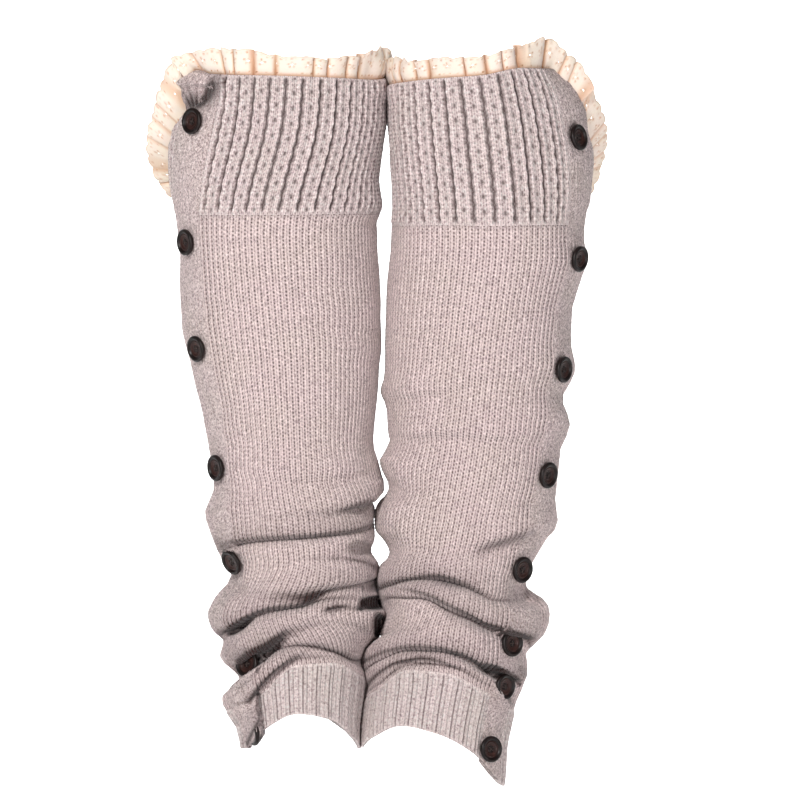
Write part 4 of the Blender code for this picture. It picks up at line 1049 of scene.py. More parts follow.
def press(points, buttons):
    """How cloth gives way to the buttons: it lies flat under each one, and
    where a fold hangs over a button it stands in front of it."""
    shift = np.zeros(points.shape)
    for centre, normal, covers in buttons:
        away = points - centre
        level = away @ normal
        beside = np.linalg.norm(away - level[..., None] * normal, axis=-1)
        near = (beside < 19.0) & (np.abs(level) < 14.0)
        if not near.any():
            continue
        x, y, z = points[..., 0], points[..., 1], points[..., 2]
        over = np.zeros(level.shape)
        for x1, z1, x2, z2 in covers:
            long = math.hypot(x2 - x1, z2 - z1)
            side = ((x2 - x1) * (z - z1) - (z2 - z1) * (x - x1)) / long
            over = np.maximum(over, ease((side + 0.8) / 1.6))
        a, b = level[near], beside[near]
        flat = -0.75 + 0.85 * np.maximum(b - 8.6, 0.0)
        down = np.minimum(flat - a, 0.0)
        if not covers:
            lack = np.maximum(-2.0 - a, 0.0) * (1 - ease((b - 6.0) / 9.0))
            down = down + lack
        shift[near] += ((1 - over[near]) * down)[:, None] * normal
        if not covers:
            continue
        # The fold lies just before the button's face, as the viewer sees it.
        front = centre + normal * BUTTON_THICK
        ox, oz = x - front[0], z - front[2]
        oy = -(normal[0] * ox + normal[2] * oz) / normal[1]
        r = np.sqrt(ox * ox + oy * oy + oz * oz)
        s = np.minimum(1.0, 8.4 / np.maximum(r, 1e-6))
        gap = np.hypot(ox, oz) * (1 - s)
        limit = front[1] + oy * s - 1.6 + 1.2 * gap
        behind = y - limit
        pull = 0.92 * np.maximum(behind, 0.0) * (1 - ease((behind - 16.0) / 8.0))
        shift[..., 1] -= pull * over * (1 - ease((gap - 6.0) / 4.0))
    return shift


def knit_piece(name, cuff, around, uppers, lowers, rows, lift, thickness, relief, uv_of, material, trim=(0.0, 0.0), skip=(4, 4)):
    """One knitted piece: the cuff's surface, its relief and its inside."""
    around = np.asarray(around, float)
    angle, height, total = even_rows(cuff, around, uppers, lowers, rows, trim)
    face = cuff.base(angle, height)
    normal = cuff.normal(angle, height)
    wide = np.broadcast_to(around, height.shape)
    length = float(total.mean())
    v = np.linspace(0.0, 1.0, rows + 1)[:, None] * length + 0 * height
    crumple = wrinkles(cuff.side, angle, height)
    extra, deep = relief(wide, v, length) if relief else (0.0 * v, 0.0 * v)
    # Painted shade: the relief's own, and that of the folds, creases and hollows.
    deep = np.clip(deep + cuff.painted_shade_at(angle, height), 0.0, 1.0)
    level = np.asarray(lift, float) + crumple
    face = face + press(face, cuff.buttons)
    outer = face + normal * (level + extra)[..., None]
    inner = face + normal * (level - thickness)[..., None]
    points, faces, rims, (kr, kc) = shell(outer, inner, *skip)
    u, w = uv_of(wide, v)
    flat = np.stack([u, w], axis=-1)
    uv = np.concatenate([flat.reshape(-1, 2), flat[np.ix_(kr, kc)].reshape(-1, 2)])
    # The inner face gets painted shade at half strength throughout.
    painted_shade = np.concatenate([deep.reshape(-1), np.full(len(kr) * len(kc), 0.5)])
    made = add_mesh(name, points, faces, material, uv, rims, cuff.turn < 0, painted_shade)
    across = np.linalg.norm(np.diff(face, axis=1), axis=-1).sum(axis=1).mean()
    return made, across * MM, length * MM


# ------------------------------------------------------------------- shaders


class Nodes:
    """Short calls for building a material's nodes."""

    def __init__(self, name, roughness, colour=(0.5, 0.5, 0.5)):
        self.material = bpy.data.materials.new(name)
        self.material.use_nodes = True
        self.tree = self.material.node_tree
        self.shader = self.tree.nodes["Principled BSDF"]
        self.shader.inputs["Roughness"].default_value = roughness
        self.shader.inputs["Base Color"].default_value = (*colour, 1.0)
        self.material.diffuse_color = (*colour, 1.0)

    def make(self, kind, **settings):
        node = self.tree.nodes.new(kind)
        for key, value in settings.items():
            setattr(node, key, value)
        return node

    def put(self, socket, value):
        if isinstance(value, bpy.types.NodeSocket):
            self.tree.links.new(value, socket)
        else:
            socket.default_value = value

    def math(self, operation, a, b=0.0, c=0.0, clamp=False):
        node = self.make("ShaderNodeMath", operation=operation, use_clamp=clamp)
        for socket, value in zip(node.inputs, (a, b, c)):
            self.put(socket, value)
        return node.outputs[0]

    def smooth(self, value, low, high):
        node = self.make("ShaderNodeMapRange", interpolation_type="SMOOTHSTEP")
        self.put(node.inputs["Value"], value)
        node.inputs["From Min"].default_value = low
        node.inputs["From Max"].default_value = high
        return node.outputs["Result"]

    def noise(self, vector, scale, detail=2.0, rough=0.5):
        node = self.make("ShaderNodeTexNoise")
        self.put(node.inputs["Vector"], vector)
        node.inputs["Scale"].default_value = scale
        node.inputs["Detail"].default_value = detail
        node.inputs["Roughness"].default_value = rough
        return node.outputs["Fac"]

    def ramp(self, value, stops):
        node = self.make("ShaderNodeValToRGB")
        self.put(node.inputs["Fac"], value)
        band = node.color_ramp
        while len(band.elements) < len(stops):
            band.elements.new(0.5)
        for element, (at, colour) in zip(band.elements, stops):
            element.position = at
            element.color = (*colour, 1.0)
        return node.outputs["Color"]

    def mix(self, factor, a, b, blend="MIX"):
        node = self.make("ShaderNodeMix", data_type="RGBA", blend_type=blend)
        self.put(node.inputs["Factor"], factor)
        for socket, value in ((node.inputs[6], a), (node.inputs[7], b)):
            if not isinstance(value, bpy.types.NodeSocket):
                value = (*value, 1.0)
            self.put(socket, value)
        return node.outputs[2]

    def bump(self, height, distance, strength=1.0, under=None):
        node = self.make("ShaderNodeBump")
        self.put(node.inputs["Height"], height)
        node.inputs["Distance"].default_value = distance
        node.inputs["Strength"].default_value = strength
        if under is not None:
            self.put(node.inputs["Normal"], under)
        return node.outputs["Normal"]


def srgb(r, g, b):
    return tuple(
        (c / 255 / 12.92) if c <= 10.3 else ((c / 255 + 0.055) / 1.055) ** 2.4
        for c in (r, g, b)
    )


def yarn(name, stitch_width=1.0, painted_gap_shade=0.8, body=(211, 189, 188), pits=True, speckle=0.35):
    """Heathered wool knit. The UV map counts wales across and rows down. Its colour also carries painted shade in the
    gaps between stitches and from the mesh's attribute, with a painted highlight on the stitch legs.
    """
    n = Nodes(name, 0.92, srgb(*body))
    place = n.make("ShaderNodeUVMap", uv_map="knit").outputs["UV"]
    split = n.make("ShaderNodeSeparateXYZ")
    n.put(split.inputs[0], place)
    u = n.math("MULTIPLY", split.outputs[0], stitch_width)
    v = split.outputs[1]
    s = n.math("MULTIPLY", n.math("ABSOLUTE", n.math("SUBTRACT", n.math("FRACT", u), 0.5)), 2.0)
    phase = n.math("SUBTRACT", v, n.math("MULTIPLY", s, 0.85))
    fp = n.math("SUBTRACT", n.math("MULTIPLY", n.math("FRACT", phase), 2.0), 1.0)
    across = n.math("SUBTRACT", n.math("MULTIPLY", s, 2.0), 1.0)
    round_across = n.math("SUBTRACT", 1.0, n.math("MULTIPLY", across, across))
    round_along = n.math("SUBTRACT", 1.0, n.math("MULTIPLY", fp, fp))
    strand = n.math(
        "MULTIPLY",
        n.math("POWER", n.math("MAXIMUM", round_across, 0.001), 0.6),
        n.math("ADD", 0.35, n.math("MULTIPLY", n.math("POWER", n.math("MAXIMUM", round_along, 0.001), 0.7), 0.65)),
    )
    at = n.make("ShaderNodeTexCoord").outputs["Object"]
    fleck = n.noise(at, 620.0, 3.0, 0.75)
    fibre_place = n.make("ShaderNodeMapping")
    n.put(fibre_place.inputs["Vector"], at)
    fibre_place.inputs["Scale"].default_value = (1.0, 1.0, 0.35)
    fibre = n.noise(fibre_place.outputs["Vector"], 2600.0, 2.0, 0.6)
    slow = n.noise(at, 38.0, 2.0, 0.5)
    light = srgb(min(body[0] + 40, 252), min(body[1] + 42, 248), min(body[2] + 42, 246))
    dark = srgb(body[0] - 86, body[1] - 90, body[2] - 84)
    colour = n.ramp(fleck, [(0.35, dark), (0.46, srgb(*body)), (0.54, srgb(body[0] + 6, body[1] + 6, body[2] + 6)), (0.62, light)])
    grain = n.ramp(n.noise(at, 800.0, 2.0, 0.7), [(0.38, srgb(150, 132, 130)), (0.5, srgb(244, 242, 242)), (0.6, (1.0, 1.0, 1.0))])
    colour = n.mix(speckle, colour, n.mix(1.0, colour, grain, "MULTIPLY"))
    tint = n.ramp(slow, [(0.35, srgb(214, 196, 196)), (0.5, srgb(206, 192, 188)), (0.68, srgb(203, 193, 182))])
    colour = n.mix(0.25, colour, tint)
    gap = n.math("SUBTRACT", 1.0, n.smooth(strand, 0.05, 0.55))
    if pits:
        # Painted shade: a dark dot in the pit between two wales at each row, and a
        # weaker one inside each stitch half a row away.
        row = n.math("ABSOLUTE", n.math("SUBTRACT", n.math("FRACT", n.math("ADD", v, 0.5)), 0.5))
        dot = n.math(
            "MULTIPLY", n.smooth(s, 0.62, 0.9), n.math("SUBTRACT", 1.0, n.smooth(row, 0.12, 0.4))
        )
        inner = n.math(
            "MULTIPLY",
            n.math("SUBTRACT", 1.0, n.smooth(s, 0.06, 0.34)),
            n.math("MULTIPLY", n.smooth(row, 0.12, 0.38), 0.6),
        )
        gap = n.math("MAXIMUM", n.math("MULTIPLY", gap, 0.4), n.math("MAXIMUM", dot, inner))
        # Painted highlight along the stitch legs.
        leg = n.math("SUBTRACT", 1.0, n.smooth(n.math("ABSOLUTE", n.math("SUBTRACT", s, 0.46)), 0.02, 0.24))
        colour = n.mix(n.math("MULTIPLY", leg, 0.34), colour, srgb(240, 224, 222))
    # Painted shade in the gaps between strands and in the pits, as strong as the gap-shade argument sets.
    shade = n.mix(n.math("MULTIPLY", gap, painted_gap_shade), (1.0, 1.0, 1.0), srgb(104, 84, 82))
    colour = n.mix(1.0, colour, shade, "MULTIPLY")
    # Painted shade from the mesh's attribute: folds, creases, hollows, grooves and the inner face darken towards a deep
    # brown.
    painted_shade = n.make("ShaderNodeAttribute", attribute_name="painted_shade").outputs["Fac"]
    depth = n.mix(painted_shade, (1.0, 1.0, 1.0), srgb(60, 34, 31))
    colour = n.mix(1.0, colour, depth, "MULTIPLY")
    n.put(n.shader.inputs["Base Color"], colour)
    height = n.math("ADD", strand, n.math("MULTIPLY", fibre, 0.45))
    n.put(n.shader.inputs["Normal"], n.bump(height, 0.00042, 0.9))
    n.shader.inputs["Sheen Weight"].default_value = 0.25
    n.shader.inputs["Sheen Roughness"].default_value = 0.6
    n.shader.inputs["Specular IOR Level"].default_value = 0.2
    return n.material


def lace_cotton():
    n = Nodes("lace", 0.85, srgb(252, 238, 224))
    place = n.make("ShaderNodeUVMap", uv_map="knit").outputs["UV"]
    at = n.make("ShaderNodeTexCoord").outputs["Object"]
    thread = n.noise(place, 2.6, 3.0, 0.7)
    fine = n.noise(at, 1500.0, 2.0, 0.6)
    slow = n.noise(at, 60.0, 1.0, 0.5)
    colour = n.ramp(slow, [(0.35, srgb(235, 218, 207)), (0.65, srgb(232, 219, 205))])
    colour = n.mix(n.math("MULTIPLY", n.smooth(thread, 0.52, 0.7), 0.22), colour, srgb(222, 196, 176))
    # Painted shade from the mesh's attribute, in the gathers' valleys, along the foot and round the eyelets; it also
    # darkens a thin band under the scalloped edge.
    painted_shade = n.make("ShaderNodeAttribute", attribute_name="painted_shade").outputs["Fac"]
    shade = n.ramp(painted_shade, [(0.0, (1.0, 1.0, 1.0)), (0.34, srgb(232, 210, 196)), (0.62, srgb(196, 160, 136)), (1.0, srgb(98, 78, 68))])
    colour = n.mix(1.0, colour, shade, "MULTIPLY")
    n.put(n.shader.inputs["Base Color"], colour)
    height = n.math("ADD", thread, n.math("MULTIPLY", fine, 0.5))
    n.put(n.shader.inputs["Normal"], n.bump(height, 0.0004, 0.6))
    n.shader.inputs["Specular IOR Level"].default_value = 0.25
    n.shader.inputs["Sheen Weight"].default_value = 0.1
    n.shader.inputs["Subsurface Weight"].default_value = 0.12
    n.shader.inputs["Subsurface Scale"].default_value = 0.004
    n.shader.inputs["Subsurface Radius"].default_value = (1.0, 0.6, 0.4)
    return n.material


def horn():
    """Turned horn: a near-black rim and middle with a brown ring between."""
    n = Nodes("dark_button", 0.3, srgb(30, 19, 16))
    place = n.make("ShaderNodeUVMap", uv_map="knit").outputs["UV"]
    split = n.make("ShaderNodeSeparateXYZ")
    n.put(split.inputs[0], place)
    at = n.make("ShaderNodeTexCoord").outputs["Object"]
    cloud = n.noise(at, 260.0, 3.0, 0.6)
    fine = n.noise(at, 2400.0, 2.0, 0.5)
    black = n.ramp(cloud, [(0.35, srgb(14, 6, 5)), (0.7, srgb(26, 14, 12))])
    brown = n.ramp(cloud, [(0.35, srgb(37, 18, 15)), (0.7, srgb(57, 33, 28))])
    disc = n.math(
        "MULTIPLY", n.smooth(split.outputs[0], 0.2, 0.34), n.math("SUBTRACT", 1.0, n.smooth(split.outputs[0], 0.6, 0.7))
    )
    n.put(n.shader.inputs["Base Color"], n.mix(disc, black, brown))
    n.put(n.shader.inputs["Roughness"], n.math("ADD", 0.3, n.math("MULTIPLY", cloud, 0.16)))
    n.shader.inputs["Specular IOR Level"].default_value = 0.3
    n.put(n.shader.inputs["Normal"], n.bump(fine, 0.00004, 0.5))
    return n.material


def thread():
    n = Nodes("button_thread", 0.8, srgb(44, 32, 30))
    at = n.make("ShaderNodeTexCoord").outputs["Object"]
    twist = n.noise(at, 2200.0, 1.0, 0.5)
    n.put(n.shader.inputs["Base Color"], n.ramp(twist, [(0.4, srgb(34, 24, 22)), (0.6, srgb(66, 52, 48))]))
    n.put(n.shader.inputs["Normal"], n.bump(twist, 0.0001, 0.6))
    return n.material


# ----------------------------------------------------------------- the pieces


def lace_path(cuff, around, steps=30):
    """The lace's face without its gathers: rows from its foot to its edge,
    with the face direction of each point."""
    around = np.asarray(around, float)
    angle = cuff.angle(around, 30.0)
    for _ in range(12):
        height = cuff.ring("top", angle)
        angle = cuff.angle(around, height)
    depth = np.interp(
        around,
        (-UNDER_HALF, PLACKET_HALF, 27, 325, 336, 360),
        (4.15, 4.15, 3.0, 3.0, 5.35, 5.35),
    )
    flare = np.radians(smooth_curve(*zip(*LACE_FLARE))(np.maximum(around, 0.0)))
    lift = -(depth + GAP + 0.15)
    foot = cuff.point(angle, height - LACE_TUCK, lift)
    edge = cuff.point(angle, height, lift)
    up = edge - foot
    up /= np.linalg.norm(up, axis=-1, keepdims=True)
    out = cuff.normal(angle, height)
    out -= (out * up).sum(axis=-1, keepdims=True) * up
    out /= np.linalg.norm(out, axis=-1, keepdims=True)
    places, faces = [foot], [out]
    place = edge.copy()
    pace = LACE_HEIGHT / steps
    tall = smooth_curve(*zip(*LACE_TALL[cuff.side]))(around)
    for k in range(steps + 1):
        lean = flare * ease((k * pace - 1.0) / 7.0)
        places.append(place.copy())
        faces.append(out * np.cos(lean)[:, None] - up * np.sin(lean)[:, None])
        lean = flare * ease(((k + 0.5) * pace - 1.0) / 7.0)
        pull = pace * tall[:, None]
        place = place + pull * (up * np.cos(lean)[:, None] + out * np.sin(lean)[:, None])
    reach = np.concatenate([[-LACE_TUCK], np.arange(steps + 1) * pace])
    places, faces = np.array(places), np.array(faces)
    # Round the opening the lace fans out to the tips in the table.
    share = np.arange(steps + 1)[:, None, None] / steps
    for table, weight in (
        (LACE_TIPS[cuff.side][0], 1 - step(27.0, 38.0, around)),
        (LACE_TIPS[cuff.side][1], step(268.0, 284.0, around)),
        (LACE_TIPS[cuff.side][2], step(112.0, 124.0, around) * (1 - step(166.0, 180.0, around))),
    ):
        at = np.array(table)
        inside = np.clip(around, at[0, 0], at[-1, 0])
        tip = np.stack([smooth_curve(at[:, 0], at[:, i])(inside) for i in (1, 2, 3)], axis=-1)
        sheet = edge + (tip - edge) * share
        sheet[..., 1] -= 2.0 * 4 * (share * (1 - share))[..., 0]
        if at[0, 0] > 100 and at[-1, 0] < 200:
            sheet[..., 0] += cuff.turn * 2.2 * 4 * (share * (1 - share))[..., 0]
        weight = weight[:, None]
        places[1:] = places[1:] * (1 - weight) + sheet * weight
        f = np.cross(np.gradient(places, axis=1), np.gradient(places, axis=0))
        f *= np.sign(np.median((f * out).sum(axis=-1)))
        f /= np.linalg.norm(f, axis=-1, keepdims=True)
        faces = faces * (1 - weight) + f * weight
        faces /= np.linalg.norm(faces, axis=-1, keepdims=True)
    return places, faces, reach


# How tall the lace stands round the cuff: degrees from the placket's line, share
# of its full height.
LACE_TALL = {
    "left": (
        (-12, 1.0), (8, 0.94), (18, 0.88), (33, 0.95), (46, 0.8), (56, 0.72), (65, 0.76), (80, 0.68),
        (90, 0.82), (102, 0.84), (113, 1.08), (135, 1.02), (180, 1.0), (270, 1.0), (300, 1.42), (322, 1.5), (346, 1.5),
    ),
    "right": (
        (-12, 1.18), (0, 1.2), (10, 1.2), (20, 1.1), (30, 0.95), (42, 0.78), (60, 0.7), (76, 0.72),
        (90, 0.78), (105, 0.72), (120, 0.76), (140, 0.95), (180, 1.0), (270, 1.0), (300, 1.12), (330, 1.2), (346, 1.25),
    ),
}
# Where the lace's edge lies on each side of the opening: degrees from the
# placket's line, then the place.
LACE_TIPS = {
    "left": (
        (
            (-11.5, -127.4, -26, 55.8),
            (0, -114.0, -33, 58.8),
            (8, -106.2, -38, 60.0),
            (16, -98.4, -43, 60.6),
            (27, -87.0, -50, 60.0),
        ),
        (
            (284, -124.2, 42, -30.0),
            (292, -130.8, 36, -25.2),
            (300, -136.2, 29, -18.0),
            (307, -140.4, 21, -9.6),
            (315, -142.8, 12, 0.6),
            (322, -142.2, 3, 10.8),
            (330, -138.6, -6, 22.8),
            (335, -135.6, -11, 34.8),
            (340, -130.8, -16, 47.4),
            (345.5, -124.2, -19.5, 57.0),
        ),
        (
            (118, -7.2, -22, 60.0),
            (128, -1.2, -14, 61.8),
            (138, 3.6, -5, 57.6),
            (148, 4.8, 4, 54.0),
            (160, 2.4, 15, 54.0),
            (172, -3.0, 25, 55.2),
        ),
    ),
    "right": (
        (
            (-11.5, 128.2, -17, 37.0),
            (-5, 117.0, -19, 53.4),
            (0, 110.4, -24, 58.2),
            (5, 105.0, -27, 63.0),
            (10, 100.2, -31, 66.6),
            (16, 94.8, -35, 66.9),
            (22, 89.4, -39, 64.8),
            (27, 86.4, -43, 63.0),
        ),
        (
            (284, 123.0, 47, -28.8),
            (292, 126.6, 42, -24.0),
            (300, 129.6, 37, -17.4),
            (307, 132.0, 31, -9.6),
            (315, 133.8, 23, -1.2),
            (322, 135.0, 16, 7.2),
            (330, 134.4, 7, 16.2),
            (335, 132.0, 1, 24.0),
            (340, 128.4, -5, 31.2),
            (345.5, 123.6, -9.5, 42.6),
        ),
        (
            (118, 16.8, -34, 54.0),
            (130, 10.2, -24, 55.2),
            (142, 4.8, -12, 55.2),
            (152, 1.8, -2, 54.0),
            (162, 1.2, 8, 52.8),
            (174, 4.8, 18, 52.8),
        ),
    ),
}
LACE_CELL = 0.79
SCALLOP = 9.6


def eyelets(width):
    """The lace's pattern: (along, up, radius) of each hole, in millimetres of
    cloth, where up is measured from the knit's edge."""
    holes = []
    count = int(width / SCALLOP)
    for k in range(count + 1):
        x = (k + 0.5) * SCALLOP
        holes.append((x, 9.6, 0.6))
        for turn in range(5):
            a = math.radians(90 + 72 * turn)
            holes.append((x + 2.1 * math.cos(a), 9.6 + 2.1 * math.sin(a), 0.45))
        for off in (-3.3, 0.0, 3.3):
            holes.append((x + off, 14.9 - 0.085 * off * off, 0.45))
        for off in (-3.2, 0.0, 3.2):
            holes.append((x + off + 0.5 * math.sin(9.1 * x + off), 2.6 + 0.5 * math.sin(5.3 * x + 2.0 * off), 0.48))
    return holes


def gather_phase(s, seed):
    return s / 14.5 + 0.3 * np.sin(s / 9.7 + seed) + 0.15 * np.sin(s / 4.3 + 2 * seed)


def gather(s, seed):
    """Lobes of the gathered lace with sharp valleys between, and how deep."""
    lobe = np.abs(np.sin(math.pi * gather_phase(s, seed))) ** 0.7 * 2.0 - 1.1
    return lobe * (0.8 + 0.2 * np.sin(s / 23.0 + seed))


def tuck(s, seed):
    """How far the cloth leans along the edge, so that lobes swell over valleys."""
    return -np.sin(2 * math.pi * gather_phase(s, seed)) * (0.8 + 0.2 * np.sin(s / 23.0 + seed))


def make_lace(cuff, material):
    around = np.linspace(-UNDER_HALF, 345.5, 420)
    places, faces, reach = lace_path(cuff, around)
    middle = places[len(places) // 2]
    run = np.concatenate([[0.0], np.cumsum(np.linalg.norm(np.diff(middle, axis=0), axis=-1))])
    seed = 1.7 if cuff.side == "left" else 4.1
    fine = np.linspace(0.0, run[-1], 4000)
    wave = gather(fine, seed) * 2.2
    pull = tuck(fine, seed) * 0.8
    paces = np.hypot(np.diff(fine + pull), np.diff(wave))
    length = np.concatenate([[0.0], np.cumsum(paces)])
    width = length[-1]
    columns = int(width / LACE_CELL)
    top = LACE_HEIGHT
    rows = int((top + LACE_TUCK) / LACE_CELL)
    a = np.linspace(0.0, width, columns + 1)
    b = np.linspace(-LACE_TUCK, top, rows + 1)
    along, up = np.meshgrid(a, b)
    scallop = 1.5 * (1.0 - np.abs(np.sin(math.pi * along / SCALLOP)) ** 0.55)
    up = np.where(up > 0, up * (top - scallop) / top, up)
    keep = np.ones((rows, columns), bool)
    for x, y, r in eyelets(width):
        if r < 0.5:
            continue
        j0, j1 = np.searchsorted(a, (x - 3.0, x + 3.0))
        block = (slice(None), slice(j0, j1))
        dx, dy = along[block] - x, up[block] - y
        d = np.hypot(dx, dy)
        near = (np.abs(d - r) < 0.5 * LACE_CELL) & (d > 1e-6)
        safe = np.maximum(d, 1e-6)
        along[block] = np.where(near, x + dx * r / safe, along[block])
        up[block] = np.where(near, y + dy * r / safe, up[block])
        j0, j1 = max(j0, 0), min(j1, columns)
        if j1 - j0 < 2:
            continue
        mid_a = 0.25 * (along[:-1, j0 : j1 - 1] + along[1:, j0 : j1 - 1] + along[:-1, j0 + 1 : j1] + along[1:, j0 + 1 : j1])
        mid_b = 0.25 * (up[:-1, j0 : j1 - 1] + up[1:, j0 : j1 - 1] + up[:-1, j0 + 1 : j1] + up[1:, j0 + 1 : j1])
        keep[:, j0 : j1 - 1] &= np.hypot(mid_a - x, mid_b - y) > 0.86 * r
    # Each point of the cloth goes to its place along the gathered path.
    s = np.interp(along, length, fine)
    column = np.interp(s, run, np.arange(len(run)))
    row = np.interp(up, reach, np.arange(len(reach)))

    def pick(table):
        i = np.clip(row.astype(int), 0, len(reach) - 2)
        j = np.clip(column.astype(int), 0, len(run) - 2)
        fi, fj = (row - i)[..., None], (column - j)[..., None]
        return (
            table[i, j] * (1 - fi) * (1 - fj)
            + table[i + 1, j] * fi * (1 - fj)
            + table[i, j + 1] * (1 - fi) * fj
            + table[i + 1, j + 1] * fi * fj
        )

    place, face = pick(places), pick(faces)
    face /= np.linalg.norm(face, axis=-1, keepdims=True)
    rise = np.clip((up + 1.0) / (top + 1.0), 0.0, 1.0)
    calm = 1.0 - 0.72 * step(0.76, 0.84, s / run[-1]) - 0.55 * (1 - step(0.02, 0.1, s / run[-1]))
    sway = gather(s, seed) * (0.5 + 2.4 * rise ** 0.8) * calm
    edge_curl = 0.5 * np.sin(2 * math.pi * s / 5.3 + seed) * ease((up - 12.0) / 5.0) * calm
    thick = 0.22 + 0.10 * ease((up - top + 2.0) / 1.0)
    side = pick(np.gradient(places, axis=1))
    side /= np.linalg.norm(side, axis=-1, keepdims=True)
    lean = tuck(s, seed) * (0.1 + 1.1 * rise) * calm
    place = place + face * (sway + edge_curl)[..., None] + side * lean[..., None]
    tangent = np.gradient(place, axis=1)
    rising = np.gradient(place, axis=0)
    n = np.cross(tangent, rising) * cuff.turn
    n /= np.linalg.norm(n, axis=-1, keepdims=True)
    n *= np.sign((n * face).sum(axis=-1, keepdims=True))
    cord = 0.18 * bell((up - 0.9) / 0.5) + 0.16 * bell((up - 6.0) / 0.45)
    front = place + n * (thick + cord)[..., None]
    back = place - n * thick[..., None]
    number = (rows + 1) * (columns + 1)
    index = np.arange(number).reshape(rows + 1, columns + 1)
    cells = np.argwhere(keep)
    i, j = cells[:, 0], cells[:, 1]
    quads = np.stack([index[i, j], index[i, j + 1], index[i + 1, j + 1], index[i + 1, j]], axis=-1)
    points = np.concatenate([front.reshape(-1, 3), back.reshape(-1, 3)])
    faces_out = [quads, quads[:, ::-1] + number]
    # Rims round the outside and round every hole.
    padded = np.pad(keep, 1)
    for di, dj, first, second in (
        (-1, 0, (0, 0), (0, 1)),
        (0, 1, (0, 1), (1, 1)),
        (1, 0, (1, 1), (1, 0)),
        (0, -1, (1, 0), (0, 0)),
    ):
        bare = ~padded[i + 1 + di, j + 1 + dj]
        p = index[i[bare] + first[0], j[bare] + first[1]]
        q = index[i[bare] + second[0], j[bare] + second[1]]
        faces_out.append(np.stack([q, p, p + number, q + number], axis=-1))
    faces_all = np.concatenate(faces_out)
    used = np.zeros(2 * number, bool)
    used[faces_all.reshape(-1)] = True
    renumber = np.cumsum(used) - 1
    uv = np.stack([along, up], axis=-1).reshape(-1, 2)
    uv = np.concatenate([uv, uv])[used]
    # Painted shade in the valleys of the gathers, less towards the top, and along the foot; also a thin darker band
    # just under the scalloped edge.
    valley = np.clip(1.15 - 1.9 * np.abs(np.sin(math.pi * gather_phase(s, seed))), 0.0, 1.0)
    valley = 0.7 * valley * (1 - 0.35 * rise) * (0.35 + 0.65 * calm)
    valley = np.maximum(valley, 0.4 * bell((up - 0.4) / 1.4))
    valley = np.maximum(valley, 0.34 * step(top - scallop - 0.9, top - scallop - 0.2, up))
    # Painted shade round each eyelet; the smallest ones are not cut and show only as these painted dark dots.
    rim = np.zeros(up.shape)
    for x, y, r in eyelets(width):
        j0, j1 = np.searchsorted(a, (x - 3.0, x + 3.0))
        block = (slice(None), slice(j0, j1))
        d = np.hypot(along[block] - x, up[block] - y)
        rim[block] = np.maximum(rim[block], (0.6 if y > 5 else 0.7 + 0.45 * math.sin(3.7 * x)) * (0.55 + 0.45 * math.sin(0.9 * x + y)) * bell(np.maximum(d - 0.5 * r, 0.0) / 0.3))
    valley = np.maximum(valley, rim).reshape(-1)
    made = add_mesh(
        f"{cuff.side}_lace_ruffle",
        points[used],
        renumber[faces_all].tolist(),
        material,
        uv,
        turned=cuff.turn < 0,
        painted_shade=np.concatenate([valley, valley])[used],
    )
    cells = np.abs(
        np.diff(along[:-1], axis=1) * np.diff(up[:, :-1], axis=0)
    )
    return made, width * MM, (LACE_HEIGHT + LACE_TUCK) * MM, float((cells * keep).sum()) * MM * MM


def button_rings():
    """(radius, height) rings of a turned button, from its front's centre out
    over the rim to its back."""
    r, t = BUTTON_DIAMETER / 2, BUTTON_THICK
    return (
        (0.0, 0.50 * t),
        (1.0, 0.50 * t),
        (2.0, 0.50 * t),
        (3.0, 0.51 * t),
        (3.7, 0.54 * t),
        (4.0, 0.60 * t),
        (4.35, 0.69 * t),
        (4.75, 0.66 * t),
        (5.1, 0.62 * t),
        (5.4, 0.66 * t),
        (5.7, 0.86 * t),
        (6.1, 0.97 * t),
        (6.6, 1.0 * t),
        (7.1, 0.99 * t),
        (7.6, 0.92 * t),
        (7.9, 0.78 * t),
        (r, 0.58 * t),
        (r - 0.1, 0.38 * t),
        (r - 0.6, 0.16 * t),
        (r - 1.5, 0.02 * t),
        (r - 2.2, 0.0),
        (0.0, 0.0),
    )


HOLE_AT, HOLE_RADIUS, HOLE_DEPTH = 1.35, 0.62, 1.0


def button_mesh(segments=40):
    """The button, with four pits for its thread in the middle."""
    rings = []
    profile = button_rings()
    for (r0, z0), (r1, z1) in zip(profile[:-1], profile[1:]):
        parts = 8 if r1 <= 3.0 and z0 > 1 else (14 if r1 == 0 else 1)
        if r1 == 0:
            parts = 1
        for k in range(parts):
            w = k / parts
            rings.append((r0 + w * (r1 - r0), z0 + w * (z1 - z0)))
    rings.append(profile[-1])
    points, faces, starts = [], [], []
    for r, z in rings:
        starts.append(len(points))
        if r == 0:
            points.append((0.0, 0.0, z))
            continue
        for k in range(segments):
            a = 2 * math.pi * k / segments
            points.append((r * math.cos(a), r * math.sin(a), z))
    points = np.array(points)
    front = points[:, 2] > 1.0
    for sx in (-1, 1):
        for sy in (-1, 1):
            d = np.hypot(points[:, 0] - sx * HOLE_AT, points[:, 1] - sy * HOLE_AT)
            pit = 1.0 - step(0.75 * HOLE_RADIUS, 1.2 * HOLE_RADIUS, d)
            points[:, 2] -= HOLE_DEPTH * pit * front
    for (r0, _), (r1, _), a, b in zip(rings[:-1], rings[1:], starts[:-1], starts[1:]):
        for k in range(segments):
            m = (k + 1) % segments
            if r0 == 0:
                faces.append((a, b + k, b + m))
            elif r1 == 0:
                faces.append((a + k, b, a + m))
            else:
                faces.append((a + k, b + k, b + m, a + m))
    return points, faces


